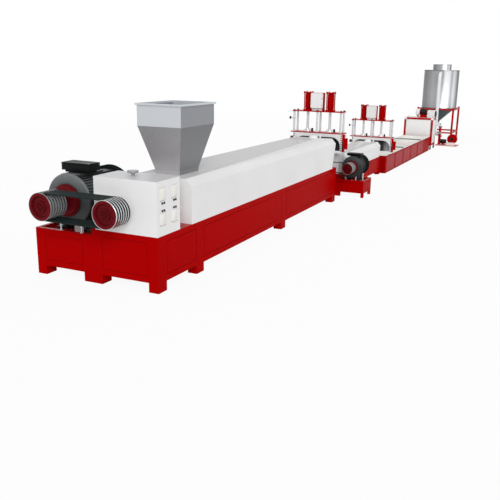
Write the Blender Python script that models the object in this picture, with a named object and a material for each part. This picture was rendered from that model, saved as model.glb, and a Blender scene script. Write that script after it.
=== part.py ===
"""Plastic pelletizing line: a two stage extruder with two hydraulic screen changers,
a water trough, a strand pelletizer and a pellet silo with its blower.

Metres, +X along the line from the drive end to the silo, +Y away from the operator's side, +Z up.
The origin is the middle of the underside of the main base's drive end leg on the operator's side.
"""
import math
from dataclasses import dataclass

import bmesh
import bpy
from mathutils import Matrix, Vector

# Fits
SEAT_GAP = 0.0003
FUSE_LAP = 0.01

# Main base, a welded box with legs and sheet panels
BASE_LENGTH = 7.12
BASE_WIDTH = 1.04
BASE_HEIGHT = 0.75
BASE_CLEARANCE = 0.13
LEG_LENGTH = 0.20
LEG_WIDTH = 0.15
SECOND_LEG = 0.99
THIRD_LEG = 4.06
PANEL_BORDER = 0.075
GROOVE_MARGIN = 0.008
GROOVE_WIDTH = 0.012
GROOVE_DEPTH = 0.008

# Gear housings, with rows of sunk covers given by their edges above the housing's foot
GEARBOX_1_LENGTH = 0.55
GEARBOX_1_WIDTH = 0.97
GEARBOX_1_HEIGHT = 0.71
GEARBOX_1_ROWS = ((0.13, 0.30), (0.455, 0.625))
GEARBOX_2_LENGTH = 0.45
GEARBOX_2_WIDTH = 0.70
GEARBOX_2_HEIGHT = 0.46
GEARBOX_2_SETBACK = 0.03
GEARBOX_2_ROWS = ((0.08, 0.19), (0.27, 0.38))
COVER_MARGIN = 0.065
COVER_SPACING = 0.13
COVER_DEPTH = 0.012
CUP_X = 0.25
CUP_RADIUS = 0.075
CUP_STEM_RADIUS = 0.022
CUP_HEIGHT = 0.075
CUP_BOWL = 0.042
CUP_LIP = 0.024

# Barrel axes and the casings round the barrels
BARREL_1_HEIGHT = 1.17
BARREL_2_HEIGHT = 0.685
BARREL_RADIUS = 0.13
BARREL_SOCKET = 0.16
CASING_1_START = 0.86
CASING_1_END = 7.04
CASING_1_COVER = 0.202
CASING_1_CHAMFER = 0.097
CASING_1_SLANT = 0.20
CASING_2_START = 8.36
CASING_2_END = 11.43
CASING_2_COVER = 0.205
CASING_2_CHAMFER = 0.09
CASING_2_SLANT = 0.10
DOME_RADIUS = 0.10
DOME_HEIGHT = 0.075
DOME_INSET = 0.14
DOME_OFFSET = 0.04
DOME_RINGS = 5

# Feed hopper of folded sheet
HOPPER_CENTRE = 1.345
HOPPER_LENGTH = 0.93
HOPPER_WIDTH = 0.70
HOPPER_BAND_HEIGHT = 0.308
HOPPER_TAPER_HEIGHT = 0.623
HOPPER_NECK_LENGTH = 0.53
HOPPER_NECK_WIDTH = 0.40
HOPPER_NECK_HEIGHT = 0.05
HOPPER_SHEET = 0.006
HOPPER_FLANGE = 0.022
HOPPER_FLANGE_THICKNESS = 0.026

# First stage drive
MOTOR_BASE_1_WIDTH = 0.96
MOTOR_BASE_1_LENGTH = 1.30
MOTOR_BASE_1_HEIGHT = 0.665
MOTOR_TRAY_DEPTH = 0.05
MOTOR_TRAY_BORDER = 0.05
SHAFT_1_HEIGHT = 1.062
SHAFT_1_RADIUS = 0.045
MOTOR_1_Y = 1.54
MOTOR_1_FRONT = 0.07
PULLEY_1_RADIUS = 0.19
PULLEY_1_REACH = 0.39
PULLEY_1_LENGTH = 0.31
PULLEY_1_GROOVES = 6

# Second stage
BASE_2_START = 7.75
BASE_2_LENGTH = 3.74
BASE_2_WIDTH = 0.74
BASE_2_HEIGHT = 0.50
BASE_2_CLEARANCE = 0.10
BASE_2_LEG = 0.12
BASE_2_BAYS = 3
BASE_2_BORDER = 0.05
MOTOR_BASE_2_LENGTH = 0.62
MOTOR_BASE_2_WIDTH = 0.61
MOTOR_BASE_2_HEIGHT = 0.39
MOTOR_BASE_2_LEG = 0.06
MOTOR_TRAY_2_BORDER = 0.03
SHAFT_2_HEIGHT = 0.69
SHAFT_2_RADIUS = 0.025
MOTOR_2_Y = 0.32
MOTOR_2_OVERHANG = 0.09
PULLEY_2_RADIUS = 0.125
PULLEY_2_REACH = 0.38
PULLEY_2_LENGTH = 0.24
PULLEY_2_GROOVES = 3

# Shares of a motor's radius, of the length of its bell or cowl, and of the pitch of its ribs
FLANGE_NOSE = 0.85
BELL_SHOULDER = 0.72
BELL_MOUTH = 0.95
BELL_MOUTH_START = 0.87
COWL_WIDE = 1.07
COWL_STRAIGHT = 0.70
COWL_END = 0.85
TERMINAL_NECK_INSET = 0.14
RIBS_DOWN_TO = 0.80
RIB_START = 0.55
RIB_FACE = 0.60
RIB_END = 0.95

# V belts and their grooves
BELT_TOP_WIDTH = 0.026
BELT_BOTTOM_WIDTH = 0.018
BELT_THICKNESS = 0.018
BELT_DROP = 0.002
BELT_SIDE_GAP = 0.0006
PULLEY_GROOVE_DEPTH = 0.027
PULLEY_END_LAND = 0.4
PULLEY_DISH = 0.018
PULLEY_RIM_WIDTH = 0.14
PULLEY_HUB_RADIUS = 0.34
PULLEY_BOSS_RADIUS = 0.17
SHAFT_DEPTH = 0.02

# Screen changers
CHANGER_1_START = 7.32
CHANGER_2_START = 11.87
CHANGER_DEPTH = 0.32
CHANGER_DROP = 0.11
CHANGER_BODY_WIDTH = 1.15
CHANGER_BODY_OFFSET = 0.02
CHANGER_BODY_HEIGHT = 0.38
ARCH_SIDE = 0.04
ARCH_CROWN = 0.07
ARCH_CORNER = 0.20
MELT_BLOCK_DEPTH = 0.14
PRESS_OFFSET = 0.055
LOWER_PLATE_WIDTH = 1.21
UPPER_PLATE_WIDTH = 1.15
CHANGER_PLATE = 0.022
PLATE_SPACING = 0.44
PILLAR_RADIUS = 0.024
PILLAR_END_INSET = 0.03
PILLAR_SIDE_INSET = 0.052
CYLINDER_SPACING = 0.52
CYLINDER_HEIGHT = 0.40
CYLINDER_RADIUS = 0.062
CYLINDER_BORE = 0.046
CYLINDER_CAP = 0.036
CYLINDER_END_SIZE = 0.175
CYLINDER_END_THICKNESS = 0.03
TIE_ROD_RADIUS = 0.010
TIE_ROD_INSET = 0.018
ROD_RADIUS = 0.030
ROD_HOLE_RADIUS = 0.046
ROD_END_GAP = 0.001
FOOT_RADIUS = 0.085
FOOT_WAIST_RADIUS = 0.053
FOOT_NECK_RADIUS = 0.047
FOOT_HEIGHT = 0.075
FOOT_RIM = 0.019
FOOT_WAIST = 0.049
CONTROL_BOX_WIDTH = 0.29
CONTROL_BOX_HEIGHT = 0.34
CONTROL_BOX_DEPTH = 0.16
CONTROL_BOX_FOOT = 0.05
CONTROL_BOX_FOOT_INSET = 0.045
CONTROL_BOX_OFFSET = 0.02
SIDE_POST_LENGTH = 0.06
SIDE_POST_WIDTH = 0.05
GRIP_REACH = 0.07
GRIP_THICKNESS = 0.03
GRIP_HEIGHT = 0.24
GRIP_BELOW_TOP = 0.076

# Water trough
TROUGH_START = 11.65
TROUGH_LENGTH = 6.26
TROUGH_WIDTH = 0.975
TROUGH_HEIGHT = 0.495
TROUGH_BAYS = 6
TROUGH_POST = 0.06
TROUGH_BORDER = 0.03
TANK_DEPTH = 0.20
TANK_SHEET = 0.006
TANK_BORDER = 0.035
GUIDE_BAR_PLACES = (2.15, 4.75)
GUIDE_BAR_RADIUS = 0.022
GUIDE_BAR_INSET = 0.012

# Strand pelletizer
CABINET_START = 18.10
CABINET_DEPTH = 0.70
CABINET_WIDTH = 1.03
CABINET_TOP = 1.13
CABINET_BOTTOM = 0.15
CABINET_POST = 0.06
CABINET_PANEL_PROUD = 0.036
RAIL_SET_IN = 0.005
CASTER_RADIUS = 0.045
CASTER_WIDTH = 0.035
CASTER_STEM_RADIUS = 0.015
BRACKET_LENGTH = 0.28
BRACKET_WIDTH = 0.34
BRACKET_HEIGHT = 0.05
SADDLE_LENGTH = 0.14
SADDLE_WIDTH = 0.18
DRIVE_MOTOR_OFFSET = 0.09
DRIVE_AXIS_HEIGHT = 0.185
DRIVE_MOTOR_RADIUS = 0.11
DRIVE_MOTOR_LENGTH = 0.26
GUARD_RADIUS = 0.12
GUARD_WIDTH = 0.14
GUARD_EDGE = 0.025
ROLLER_HOUSING_LENGTH = 0.34
ROLLER_HOUSING_WIDTH = 0.25
ROLLER_HOUSING_HEIGHT = 0.26

# Silo
SILO_X = 22.0
SILO_RADIUS = 0.69
SILO_SHEET = 0.006
SILO_BOTTOM = 1.30
SILO_HEIGHT = 1.50
SILO_CAP_RADIUS = 0.36
SILO_CAP_HEIGHT = 0.22
SILO_FRAME_WIDTH = 1.46
SILO_FRAME_POST = 0.07
SILO_RAIL_HEIGHT = 0.33
SILO_RAIL_DEPTH = 0.056
CONE_LAP = 0.04
CONE_HEIGHT = 0.57
OUTLET_RADIUS = 0.07
OUTLET_LENGTH = 0.05
VALVE_RADIUS = 0.085
VALVE_HEIGHT = 0.16
VALVE_FLANGE = 0.02
VALVE_TAPER = 0.03

# Conveying pipe
PIPE_RADIUS = 0.065
PIPE_STANDOFF = 0.16
PIPE_Y = -0.09
PIPE_LOW = 0.33
PIPE_BEND = 0.18
PIPE_TOP_BEND = 0.128
PIPE_TOP_DROP = 0.12
PIPE_INLET_REACH = 0.04
PIPE_BEND_STEPS = 8

# Blower and injector
BLOWER_X = 19.95
BLOWER_Y = -0.95
BLOWER_RADIUS = 0.19
BLOWER_WIDTH = 0.14
BLOWER_EDGE = 0.02
BLOWER_AXIS_HEIGHT = 0.24
BLOWER_FOOT_WIDTH = 0.20
BLOWER_FOOT_LENGTH = 0.126
BLOWER_INLET_RADIUS = 0.057
BLOWER_INLET_DEPTH = 0.084
BLOWER_INLET_Y = 0.02
BLOWER_PLATE = 0.03
PLATE_MARGIN = 0.05
PLATE_FRONT = 0.30
PLATE_BACK = 0.25
PEDESTAL_FRONT = 0.20
PEDESTAL_BACK = 0.05
PEDESTAL_LOW_Y = 0.13
PEDESTAL_HIGH_Y = 0.17
PEDESTAL_HEIGHT = 0.12
INJECTOR_Y = -0.48
INJECTOR_RADIUS = 0.05
INJECTOR_FLANGE_RADIUS = 0.068
INJECTOR_NECK_RADIUS = 0.045
INJECTOR_BODY = 0.40
INJECTOR_COLLAR = 0.06
INJECTOR_NECK = 0.16
INJECTOR_TAPER = 0.04
INJECTOR_CAP = 0.04
INJECTOR_MOTOR_RADIUS = 0.085
INJECTOR_MOTOR_LENGTH = 0.24
INJECTOR_MOTOR_HEIGHT = 0.12
INJECTOR_FOOT_LENGTH = 0.10
INJECTOR_FOOT_WIDTH = 0.096
INJECTOR_FOOT_START = 0.096

# Facets of round pieces
ROUND_STEPS = 24
PULLEY_1_STEPS = 20
SMALL_ROUND_STEPS = 16
CASTER_STEPS = 12
PILLAR_STEPS = 10
TIE_ROD_STEPS = 6
SILO_STEPS = 36
ARCH_STEPS = 6
SMOOTH_ANGLE = 35

# Places that follow from the sizes above
DRIVE_FACE = -LEG_LENGTH / 2
SIDE_FACE = -LEG_WIDTH / 2
AXIS_Y = SIDE_FACE + BASE_WIDTH / 2
DECK_1 = BASE_HEIGHT + SEAT_GAP
DECK_2 = BASE_2_HEIGHT + SEAT_GAP
CASING_1_TOP = BARREL_1_HEIGHT + CASING_1_COVER
CASING_2_TOP = BARREL_2_HEIGHT + CASING_2_COVER
ALONG_X = Vector((1, 0, 0))
ALONG_Y = Vector((0, 1, 0))
ALONG_Z = Vector((0, 0, 1))


@dataclass
class MotorSizes:
    radius: float
    flange_radius: float
    bell_length: float
    frame_length: float
    cowl_length: float
    foot_width: float
    pad_half: float
    shaft_radius: float
    terminal_length: float
    terminal_width: float
    terminal_height: float
    terminal_neck: float
    terminal_setback: float
    flange_end: float
    foot_thickness: float = 0.03
    foot_web: float = 0.64
    rib_count: int = 7
    rib_height: float = 0.06
    flange_start: float = 0.015


MOTOR_1 = MotorSizes(radius=0.345, flange_radius=0.225, bell_length=0.11, frame_length=0.84, cowl_length=0.18,
                     foot_width=0.62, pad_half=0.132, shaft_radius=SHAFT_1_RADIUS, terminal_length=0.25,
                     terminal_width=0.47, terminal_height=0.11, terminal_neck=0.028, terminal_setback=0.16,
                     flange_end=0.09)
MOTOR_2 = MotorSizes(radius=0.23, flange_radius=0.15, bell_length=0.15, frame_length=0.33, cowl_length=0.23,
                     foot_width=0.42, pad_half=0.085, shaft_radius=SHAFT_2_RADIUS, terminal_length=0.18,
                     terminal_width=0.34, terminal_height=0.055, terminal_neck=0.01, terminal_setback=0.04,
                     flange_end=0.06)


@dataclass
class BeltDrive:
    front: float
    length: float
    radius: float
    grooves: int
    used: tuple
    height: float
    motor_y: float
    shaft_radius: float
    steps: int

    @property
    def pitch(self):
        return self.length / (self.grooves + PULLEY_END_LAND)

    def groove_middle(self, number):
        return self.length / 2 + (number + 0.5 - self.grooves / 2) * self.pitch


def clear_scene():
    for item in list(bpy.data.objects):
        bpy.data.objects.remove(item, do_unlink=True)


def make_material(name, colour, roughness, metallic):
    material = bpy.data.materials.new(name)
    material.use_nodes = True
    shader = material.node_tree.nodes["Principled BSDF"]
    shader.inputs["Base Color"].default_value = (*colour, 1.0)
    shader.inputs["Roughness"].default_value = roughness
    shader.inputs["Metallic"].default_value = metallic
    return material


def link_mesh(name, shape, material, smooth=False):
    """Turns a finished bmesh into a named object."""
    bmesh.ops.recalc_face_normals(shape, faces=shape.faces)
    mesh = bpy.data.meshes.new(name)
    shape.to_mesh(mesh)
    shape.free()
    mesh.materials.append(material)
    if smooth:
        mesh.shade_smooth()
        mesh.set_sharp_from_angle(angle=math.radians(SMOOTH_ANGLE))
    item = bpy.data.objects.new(name, mesh)
    bpy.context.collection.objects.link(item)
    return item


def fuse(item, shapes, operation="UNION"):
    """Joins shapes to an object, or cuts them out of it, with Boolean modifiers."""
    for number, shape in enumerate(shapes):
        tool = link_mesh(f"{item.name}_{operation.lower()}_{number}", shape, item.data.materials[0])
        tool.hide_render = True
        tool.display_type = "WIRE"
        modifier = item.modifiers.new(tool.name, "BOOLEAN")
        modifier.operation = operation
        modifier.object = tool
        modifier.solver = "EXACT"


def cut(item, shapes):
    fuse(item, shapes, "DIFFERENCE")


def add_box(shape, low, high):
    size = Vector(high) - Vector(low)
    centre = (Vector(high) + Vector(low)) / 2
    matrix = Matrix.Translation(centre) @ Matrix.Diagonal((*size, 1.0))
    bmesh.ops.create_cube(shape, size=1.0, matrix=matrix)


def box_shape(low, high):
    shape = bmesh.new()
    add_box(shape, low, high)
    shape.normal_update()
    return shape


def standing_box(middle_x, middle_y, bottom, length, width, height):
    """A box on a level, given by the middle of its footprint."""
    low = (middle_x - length / 2, middle_y - width / 2, bottom)
    return box_shape(low, (low[0] + length, low[1] + width, bottom + height))


def extrude_outline(points, start, end):
    """Extrudes an outline of (y, z) points along X."""
    shape = bmesh.new()
    corners = [shape.verts.new((start, y, z)) for y, z in points]
    face = shape.faces.new(corners)
    grown = bmesh.ops.extrude_face_region(shape, geom=[face])["geom"]
    moved = [part for part in grown if isinstance(part, bmesh.types.BMVert)]
    bmesh.ops.translate(shape, verts=moved, vec=(end - start, 0.0, 0.0))
    return shape


def turned(profile, centre, axis, steps=ROUND_STEPS, closed=False):
    """Turns a profile of (distance along the axis, radius) points round an axis through the centre."""
    shape = bmesh.new()
    side = axis.orthogonal().normalized()
    verts = [shape.verts.new(axis * along + side * radius) for along, radius in profile]
    edges = [shape.edges.new(pair) for pair in zip(verts, verts[1:])]
    if closed:
        edges.append(shape.edges.new((verts[-1], verts[0])))
    bmesh.ops.spin(shape, geom=verts + edges, axis=axis, angle=math.tau, steps=steps, use_merge=True)
    bmesh.ops.remove_doubles(shape, verts=shape.verts, dist=0.00001)
    bmesh.ops.translate(shape, verts=shape.verts, vec=centre)
    return shape


def add_rod(shape, start, end, radius, steps=SMALL_ROUND_STEPS):
    """Adds a round bar between two points."""
    start = Vector(start)
    along = Vector(end) - start
    turn = ALONG_Z.rotation_difference(along).to_matrix().to_4x4()
    matrix = Matrix.Translation(start + along / 2) @ turn
    bmesh.ops.create_cone(shape, cap_ends=True, segments=steps, radius1=radius, radius2=radius,
                          depth=along.length, matrix=matrix)


def rod_shape(start, end, radius, steps=SMALL_ROUND_STEPS):
    shape = bmesh.new()
    add_rod(shape, start, end, radius, steps)
    return shape


def around(radius, steps):
    """Radius of a faceted hole that a round piece of the given radius can turn in."""
    return (radius + SEAT_GAP) / math.cos(math.pi / steps)


def inset_face(shape, face, distance):
    """Draws a border of even width just inside one face."""
    bmesh.ops.inset_individual(shape, faces=[face], thickness=distance, use_even_offset=True)


def push_face(shape, face, distance):
    """Extrudes one face along its normal."""
    normal = face.normal.copy()
    moved = bmesh.ops.extrude_discrete_faces(shape, faces=[face])["faces"][0]
    bmesh.ops.translate(shape, verts=moved.verts, vec=normal * distance)
    return moved


def groove_face(shape, face):
    """Runs a narrow groove just inside the border of a panel."""
    inset_face(shape, face, GROOVE_MARGIN)
    sunk = push_face(shape, face, -GROOVE_DEPTH)
    inset_face(shape, sunk, GROOVE_WIDTH)
    push_face(shape, sunk, GROOVE_DEPTH)


def face_towards(shape, direction):
    """The face of a box whose normal points in a direction."""
    return max(shape.faces, key=lambda face: face.normal.dot(direction))


def slice_at(shape, axis, places):
    """Cuts new edges round a shape at each place along one axis."""
    for place in places:
        centre = [0.0, 0.0, 0.0]
        normal = [0.0, 0.0, 0.0]
        centre[axis] = place
        normal[axis] = 1.0
        geometry = shape.verts[:] + shape.edges[:] + shape.faces[:]
        bmesh.ops.bisect_plane(shape, geom=geometry, plane_co=centre, plane_no=normal)


def loft_loops(shape, loops):
    """Joins closed loops of equally many vertices, the last one back to the first."""
    for loop, following in zip(loops, loops[1:] + loops[:1]):
        for corner in range(len(loop)):
            after = (corner + 1) % len(loop)
            shape.faces.new((loop[corner], loop[after], following[after], following[corner]))


def panelled_base(low, high, clearance, leg_starts, leg_length, leg_width, border):
    """A box on legs with a grooved panel between each pair of legs.

    leg_starts are the distances of the legs from the low X end."""
    shape = box_shape((low[0], low[1], low[2] + clearance), high)
    legs = [(low[0] + start, low[0] + start + leg_length) for start in leg_starts]
    inner_low_y = low[1] + leg_width
    inner_high_y = high[1] - leg_width
    panel_bottom = low[2] + clearance + border
    panel_top = high[2] - border
    slice_at(shape, 0, [edge for leg in legs for edge in leg if low[0] < edge < high[0]])
    slice_at(shape, 1, [inner_low_y, inner_high_y])
    slice_at(shape, 2, [panel_bottom, panel_top])
    shape.normal_update()

    panels = []
    feet = []
    for face in shape.faces:
        centre = face.calc_center_median()
        at_leg = any(start < centre.x < end for start, end in legs)
        inside = inner_low_y < centre.y < inner_high_y
        if panel_bottom < centre.z < panel_top:
            long_side = abs(face.normal.y) > 0.5 and not at_leg
            end_side = abs(face.normal.x) > 0.5 and inside
            if long_side or end_side:
                panels.append(face)
        elif clearance > 0 and face.normal.z < -0.5 and at_leg and not inside:
            feet.append(face)
    for face in panels:
        groove_face(shape, face)
    for face in feet:
        push_face(shape, face, clearance)
    return shape


def sink_tray(shape, depth, border, top_level):
    """Sinks the top of a base into a tray with an upstanding border."""
    shape.normal_update()
    just_below = top_level - SEAT_GAP / 2
    facing_up = [face for face in shape.faces if face.normal.z > 0.5]
    top = [face for face in facing_up if face.calc_center_median().z > just_below]
    bmesh.ops.inset_region(shape, faces=top, thickness=border, use_even_offset=True)
    grown = bmesh.ops.extrude_face_region(shape, geom=top)["geom"]
    bmesh.ops.delete(shape, geom=top, context="FACES")
    moved = [part for part in grown if isinstance(part, bmesh.types.BMVert)]
    bmesh.ops.translate(shape, verts=moved, vec=(0.0, 0.0, -depth))


def make_gearbox(name, low, high, rows, material):
    """A cast gear housing with two columns of sunk covers on each long side."""
    shape = box_shape(low, high)
    middle = (low[0] + high[0]) / 2
    columns = ((low[0] + COVER_MARGIN, middle - COVER_SPACING / 2),
               (middle + COVER_SPACING / 2, high[0] - COVER_MARGIN))
    levels = [(low[2] + lower, low[2] + upper) for lower, upper in rows]
    slice_at(shape, 0, [edge for column in columns for edge in column])
    slice_at(shape, 2, [edge for level in levels for edge in level])
    shape.normal_update()
    covers = []
    for face in shape.faces:
        centre = face.calc_center_median()
        in_column = any(near < centre.x < far for near, far in columns)
        in_row = any(lower < centre.z < upper for lower, upper in levels)
        if abs(face.normal.y) > 0.5 and in_column and in_row:
            covers.append(face)
    for face in covers:
        push_face(shape, face, -COVER_DEPTH)
    return link_mesh(name, shape, material)


def add_filler_cup(housing, housing_top):
    """The funnel shaped oil filler on a gear housing."""
    profile = [(-FUSE_LAP, 0), (-FUSE_LAP, CUP_STEM_RADIUS), (CUP_HEIGHT - CUP_BOWL, CUP_STEM_RADIUS),
               (CUP_HEIGHT - CUP_LIP, CUP_RADIUS), (CUP_HEIGHT, CUP_RADIUS), (CUP_HEIGHT, 0)]
    foot = (DRIVE_FACE + CUP_X, AXIS_Y, housing_top)
    fuse(housing, [turned(profile, foot, ALONG_Z, SMALL_ROUND_STEPS)])


def make_casing(name, end, start, half_width, levels, chamfer, slant, barrel_height, material):
    """A long cover with chamfered top edges, a vent dome and a far end that leans outwards."""
    bottom, top = levels
    low_y = AXIS_Y - half_width
    high_y = AXIS_Y + half_width
    outline = [(low_y, bottom), (high_y, bottom), (high_y, top - chamfer), (high_y - chamfer, top),
               (low_y + chamfer, top), (low_y, top - chamfer)]
    shape = extrude_outline(outline, start, end)
    for vert in shape.verts:
        if vert.co.x > (start + end) / 2:
            vert.co.x -= slant * (top - vert.co.z) / (top - bottom)
    casing = link_mesh(name, shape, material)

    dome = [(-FUSE_LAP, 0), (-FUSE_LAP, DOME_RADIUS)]
    for ring in range(DOME_RINGS):
        angle = math.pi / 2 * ring / DOME_RINGS
        dome.append((DOME_HEIGHT * math.sin(angle), DOME_RADIUS * math.cos(angle)))
    dome.append((DOME_HEIGHT, 0))
    dome_foot = (end - DOME_INSET, AXIS_Y - DOME_OFFSET, top)
    fuse(casing, [turned(dome, dome_foot, ALONG_Z, SMALL_ROUND_STEPS)])

    mouth = Vector((end, AXIS_Y, barrel_height))
    reach = ALONG_X * BARREL_SOCKET
    cut(casing, [rod_shape(mouth - reach, mouth + reach, BARREL_RADIUS + SEAT_GAP, ROUND_STEPS)])


def make_hopper(material):
    """Square feed hopper: an upright neck, a taper, an upright band and a folded rim."""
    bottom = CASING_1_TOP + SEAT_GAP
    neck_top = bottom + HOPPER_NECK_HEIGHT
    taper_top = neck_top + HOPPER_TAPER_HEIGHT
    top = taper_top + HOPPER_BAND_HEIGHT
    flange_bottom = top - HOPPER_FLANGE_THICKNESS
    neck = Vector((HOPPER_NECK_LENGTH, HOPPER_NECK_WIDTH)) / 2
    band = Vector((HOPPER_LENGTH, HOPPER_WIDTH)) / 2
    flange = band + Vector((HOPPER_FLANGE, HOPPER_FLANGE))
    sheet = Vector((HOPPER_SHEET, HOPPER_SHEET))
    outer = [(neck, bottom), (neck, neck_top), (band, taper_top), (band, flange_bottom),
             (flange, flange_bottom), (flange, top)]
    inner = [(band - sheet, top), (band - sheet, taper_top), (neck - sheet, neck_top), (neck - sheet, bottom)]
    shape = bmesh.new()
    loops = []
    for half, z in outer + inner:
        corners = ((-half.x, -half.y), (half.x, -half.y), (half.x, half.y), (-half.x, half.y))
        centre_x = DRIVE_FACE + HOPPER_CENTRE
        loops.append([shape.verts.new((centre_x + across, AXIS_Y + along, z)) for across, along in corners])
    loft_loops(shape, loops)
    link_mesh("feed_hopper", shape, material)


def make_pulley(name, drive, centre_y, shaft_end, material):
    """A V belt pulley with a dished face and its shaft, turned about the X axis."""
    radius = drive.radius
    rim = radius * (1 - PULLEY_RIM_WIDTH)
    hub = radius * PULLEY_HUB_RADIUS
    boss = radius * PULLEY_BOSS_RADIUS
    profile = [(PULLEY_DISH / 2, 0), (PULLEY_DISH / 2, boss), (0, boss), (0, hub), (PULLEY_DISH, hub),
               (PULLEY_DISH, rim), (0, rim), (0, radius)]
    slope = (BELT_TOP_WIDTH - BELT_BOTTOM_WIDTH) / 2 / BELT_THICKNESS
    half_mouth = BELT_TOP_WIDTH / 2 + BELT_SIDE_GAP + slope * BELT_DROP
    half_root = half_mouth - slope * PULLEY_GROOVE_DEPTH
    root = radius - PULLEY_GROOVE_DEPTH
    for number in range(drive.grooves):
        middle = drive.groove_middle(number)
        profile += [(middle - half_mouth, radius), (middle - half_root, root), (middle + half_root, root),
                    (middle + half_mouth, radius)]
    tip = shaft_end - drive.front
    shaft = drive.shaft_radius
    profile += [(drive.length, radius), (drive.length, shaft), (tip, shaft), (tip, 0)]
    shape = turned(profile, (0, 0, 0), ALONG_X, drive.steps)
    item = link_mesh(name, shape, material, smooth=True)
    item.location = (drive.front, centre_y, drive.height)


def make_belt(name, drive, number, material):
    """One V belt as a fixed loop round the two pulleys of a drive."""
    half_turn = ROUND_STEPS // 2 - 1
    sweep = [math.pi * (step / half_turn - 0.5) for step in range(half_turn + 1)]
    low_y, high_y = sorted((drive.motor_y, AXIS_Y))
    path = [(high_y, angle) for angle in sweep]
    path += [(low_y, angle + math.pi) for angle in sweep]
    middle = drive.front + drive.groove_middle(number)
    half_top = BELT_TOP_WIDTH / 2
    half_bottom = BELT_BOTTOM_WIDTH / 2
    section = [(-half_bottom, -BELT_THICKNESS), (-half_top, 0.0), (half_top, 0.0),
               (half_bottom, -BELT_THICKNESS)]
    shape = bmesh.new()
    loops = []
    for centre, angle in path:
        loop = []
        for across, drop in section:
            radius = drive.radius - BELT_DROP + drop
            out = radius * math.cos(angle)
            up = radius * math.sin(angle)
            loop.append(shape.verts.new((middle + across, centre + out, drive.height + up)))
        loops.append(loop)
    loft_loops(shape, loops)
    link_mesh(name, shape, material, smooth=True)


def make_belt_drive(tag, drive, motor_shaft_end, gearbox_shaft_end, materials):
    """Both pulleys of a drive and the belts that run in their used grooves."""
    make_pulley(f"motor_{tag}_pulley", drive, drive.motor_y, motor_shaft_end, materials["steel"])
    make_pulley(f"gearbox_{tag}_pulley", drive, AXIS_Y, gearbox_shaft_end, materials["steel"])
    for number in drive.used:
        name = f"drive_belt_{tag}" if len(drive.used) == 1 else f"drive_belt_{tag}_{number + 1}"
        make_belt(name, drive, number, materials["rubber"])


def motor_outline(sizes, foot_level):
    """Outline of a ribbed motor frame with feet below and a flat pad on top, as (y, z) points."""
    radius = sizes.radius
    core = radius * (1 - sizes.rib_height)
    foot_half = sizes.foot_width / 2
    foot_top = foot_level + sizes.foot_thickness
    web_half = foot_half * sizes.foot_web
    first = math.asin(-RIBS_DOWN_TO)
    pitch = (math.acos(sizes.pad_half / radius) - first) / sizes.rib_count
    right = [(foot_half, foot_level), (foot_half, foot_top), (web_half, foot_top)]
    for number in range(sizes.rib_count):
        for share, reach in ((0.0, core), (RIB_START, core), (RIB_FACE, radius), (RIB_END, radius)):
            angle = first + (number + share) * pitch
            right.append((reach * math.cos(angle), reach * math.sin(angle)))
    right.append((sizes.pad_half, radius))
    return right + [(-y, z) for y, z in reversed(right)]


def make_motor(tag, front, y, z, foot_level, sizes, materials):
    """A foot mounted motor: drive end bell, ribbed frame and fan cowl in one, and its terminal box."""
    radius = sizes.radius
    flange = sizes.flange_radius
    frame_start = front + sizes.bell_length
    frame_end = frame_start + sizes.frame_length
    outline = [(y + across, z + up) for across, up in motor_outline(sizes, foot_level - z)]
    frame = extrude_outline(outline, frame_start, frame_end)
    item = link_mesh(f"motor_{tag}", frame, materials["motor_grey"])

    bore = around(sizes.shaft_radius, ROUND_STEPS)
    bore_end = SHAFT_DEPTH + SEAT_GAP
    bell_end = sizes.bell_length + FUSE_LAP
    nose = flange * FLANGE_NOSE
    shoulder = radius * BELL_SHOULDER
    mouth = radius * BELL_MOUTH
    mouth_start = sizes.bell_length * BELL_MOUTH_START
    bell = [(bore_end, 0), (bore_end, bore), (0, bore), (0, nose), (sizes.flange_start, flange),
            (sizes.flange_end, flange), (sizes.flange_end, shoulder), (mouth_start, mouth), (bell_end, mouth),
            (bell_end, 0)]
    wide = radius * COWL_WIDE
    cowl_end = sizes.cowl_length
    cowl = [(-FUSE_LAP, 0), (-FUSE_LAP, wide), (cowl_end * COWL_STRAIGHT, wide),
            (cowl_end, radius * COWL_END), (cowl_end, 0)]
    fuse(item, [turned(bell, (front, y, z), ALONG_X), turned(cowl, (frame_end, y, z), ALONG_X)])

    middle = frame_start + sizes.terminal_setback + sizes.terminal_length / 2
    box_bottom = z + radius + SEAT_GAP + sizes.terminal_neck
    box = standing_box(middle, y, box_bottom, sizes.terminal_length, sizes.terminal_width,
                       sizes.terminal_height)
    underside = face_towards(box, -ALONG_Z)
    inset_face(box, underside, sizes.terminal_length * TERMINAL_NECK_INSET)
    push_face(box, underside, sizes.terminal_neck)
    link_mesh(f"motor_{tag}_terminal_box", box, materials["black"])


def arch_outline(middle_y, width, bottom, height, corner):
    """Outline of an upright arch with rounded shoulders, as (y, z) points."""
    points = [(middle_y - width / 2, bottom), (middle_y + width / 2, bottom)]
    for side, start in ((1, 0.0), (-1, math.pi / 2)):
        centre_y = middle_y + side * (width / 2 - corner)
        centre_z = bottom + height - corner
        for step in range(ARCH_STEPS + 1):
            angle = start + math.pi / 2 * step / ARCH_STEPS
            points.append((centre_y + corner * math.cos(angle), centre_z + corner * math.sin(angle)))
    return points


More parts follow.
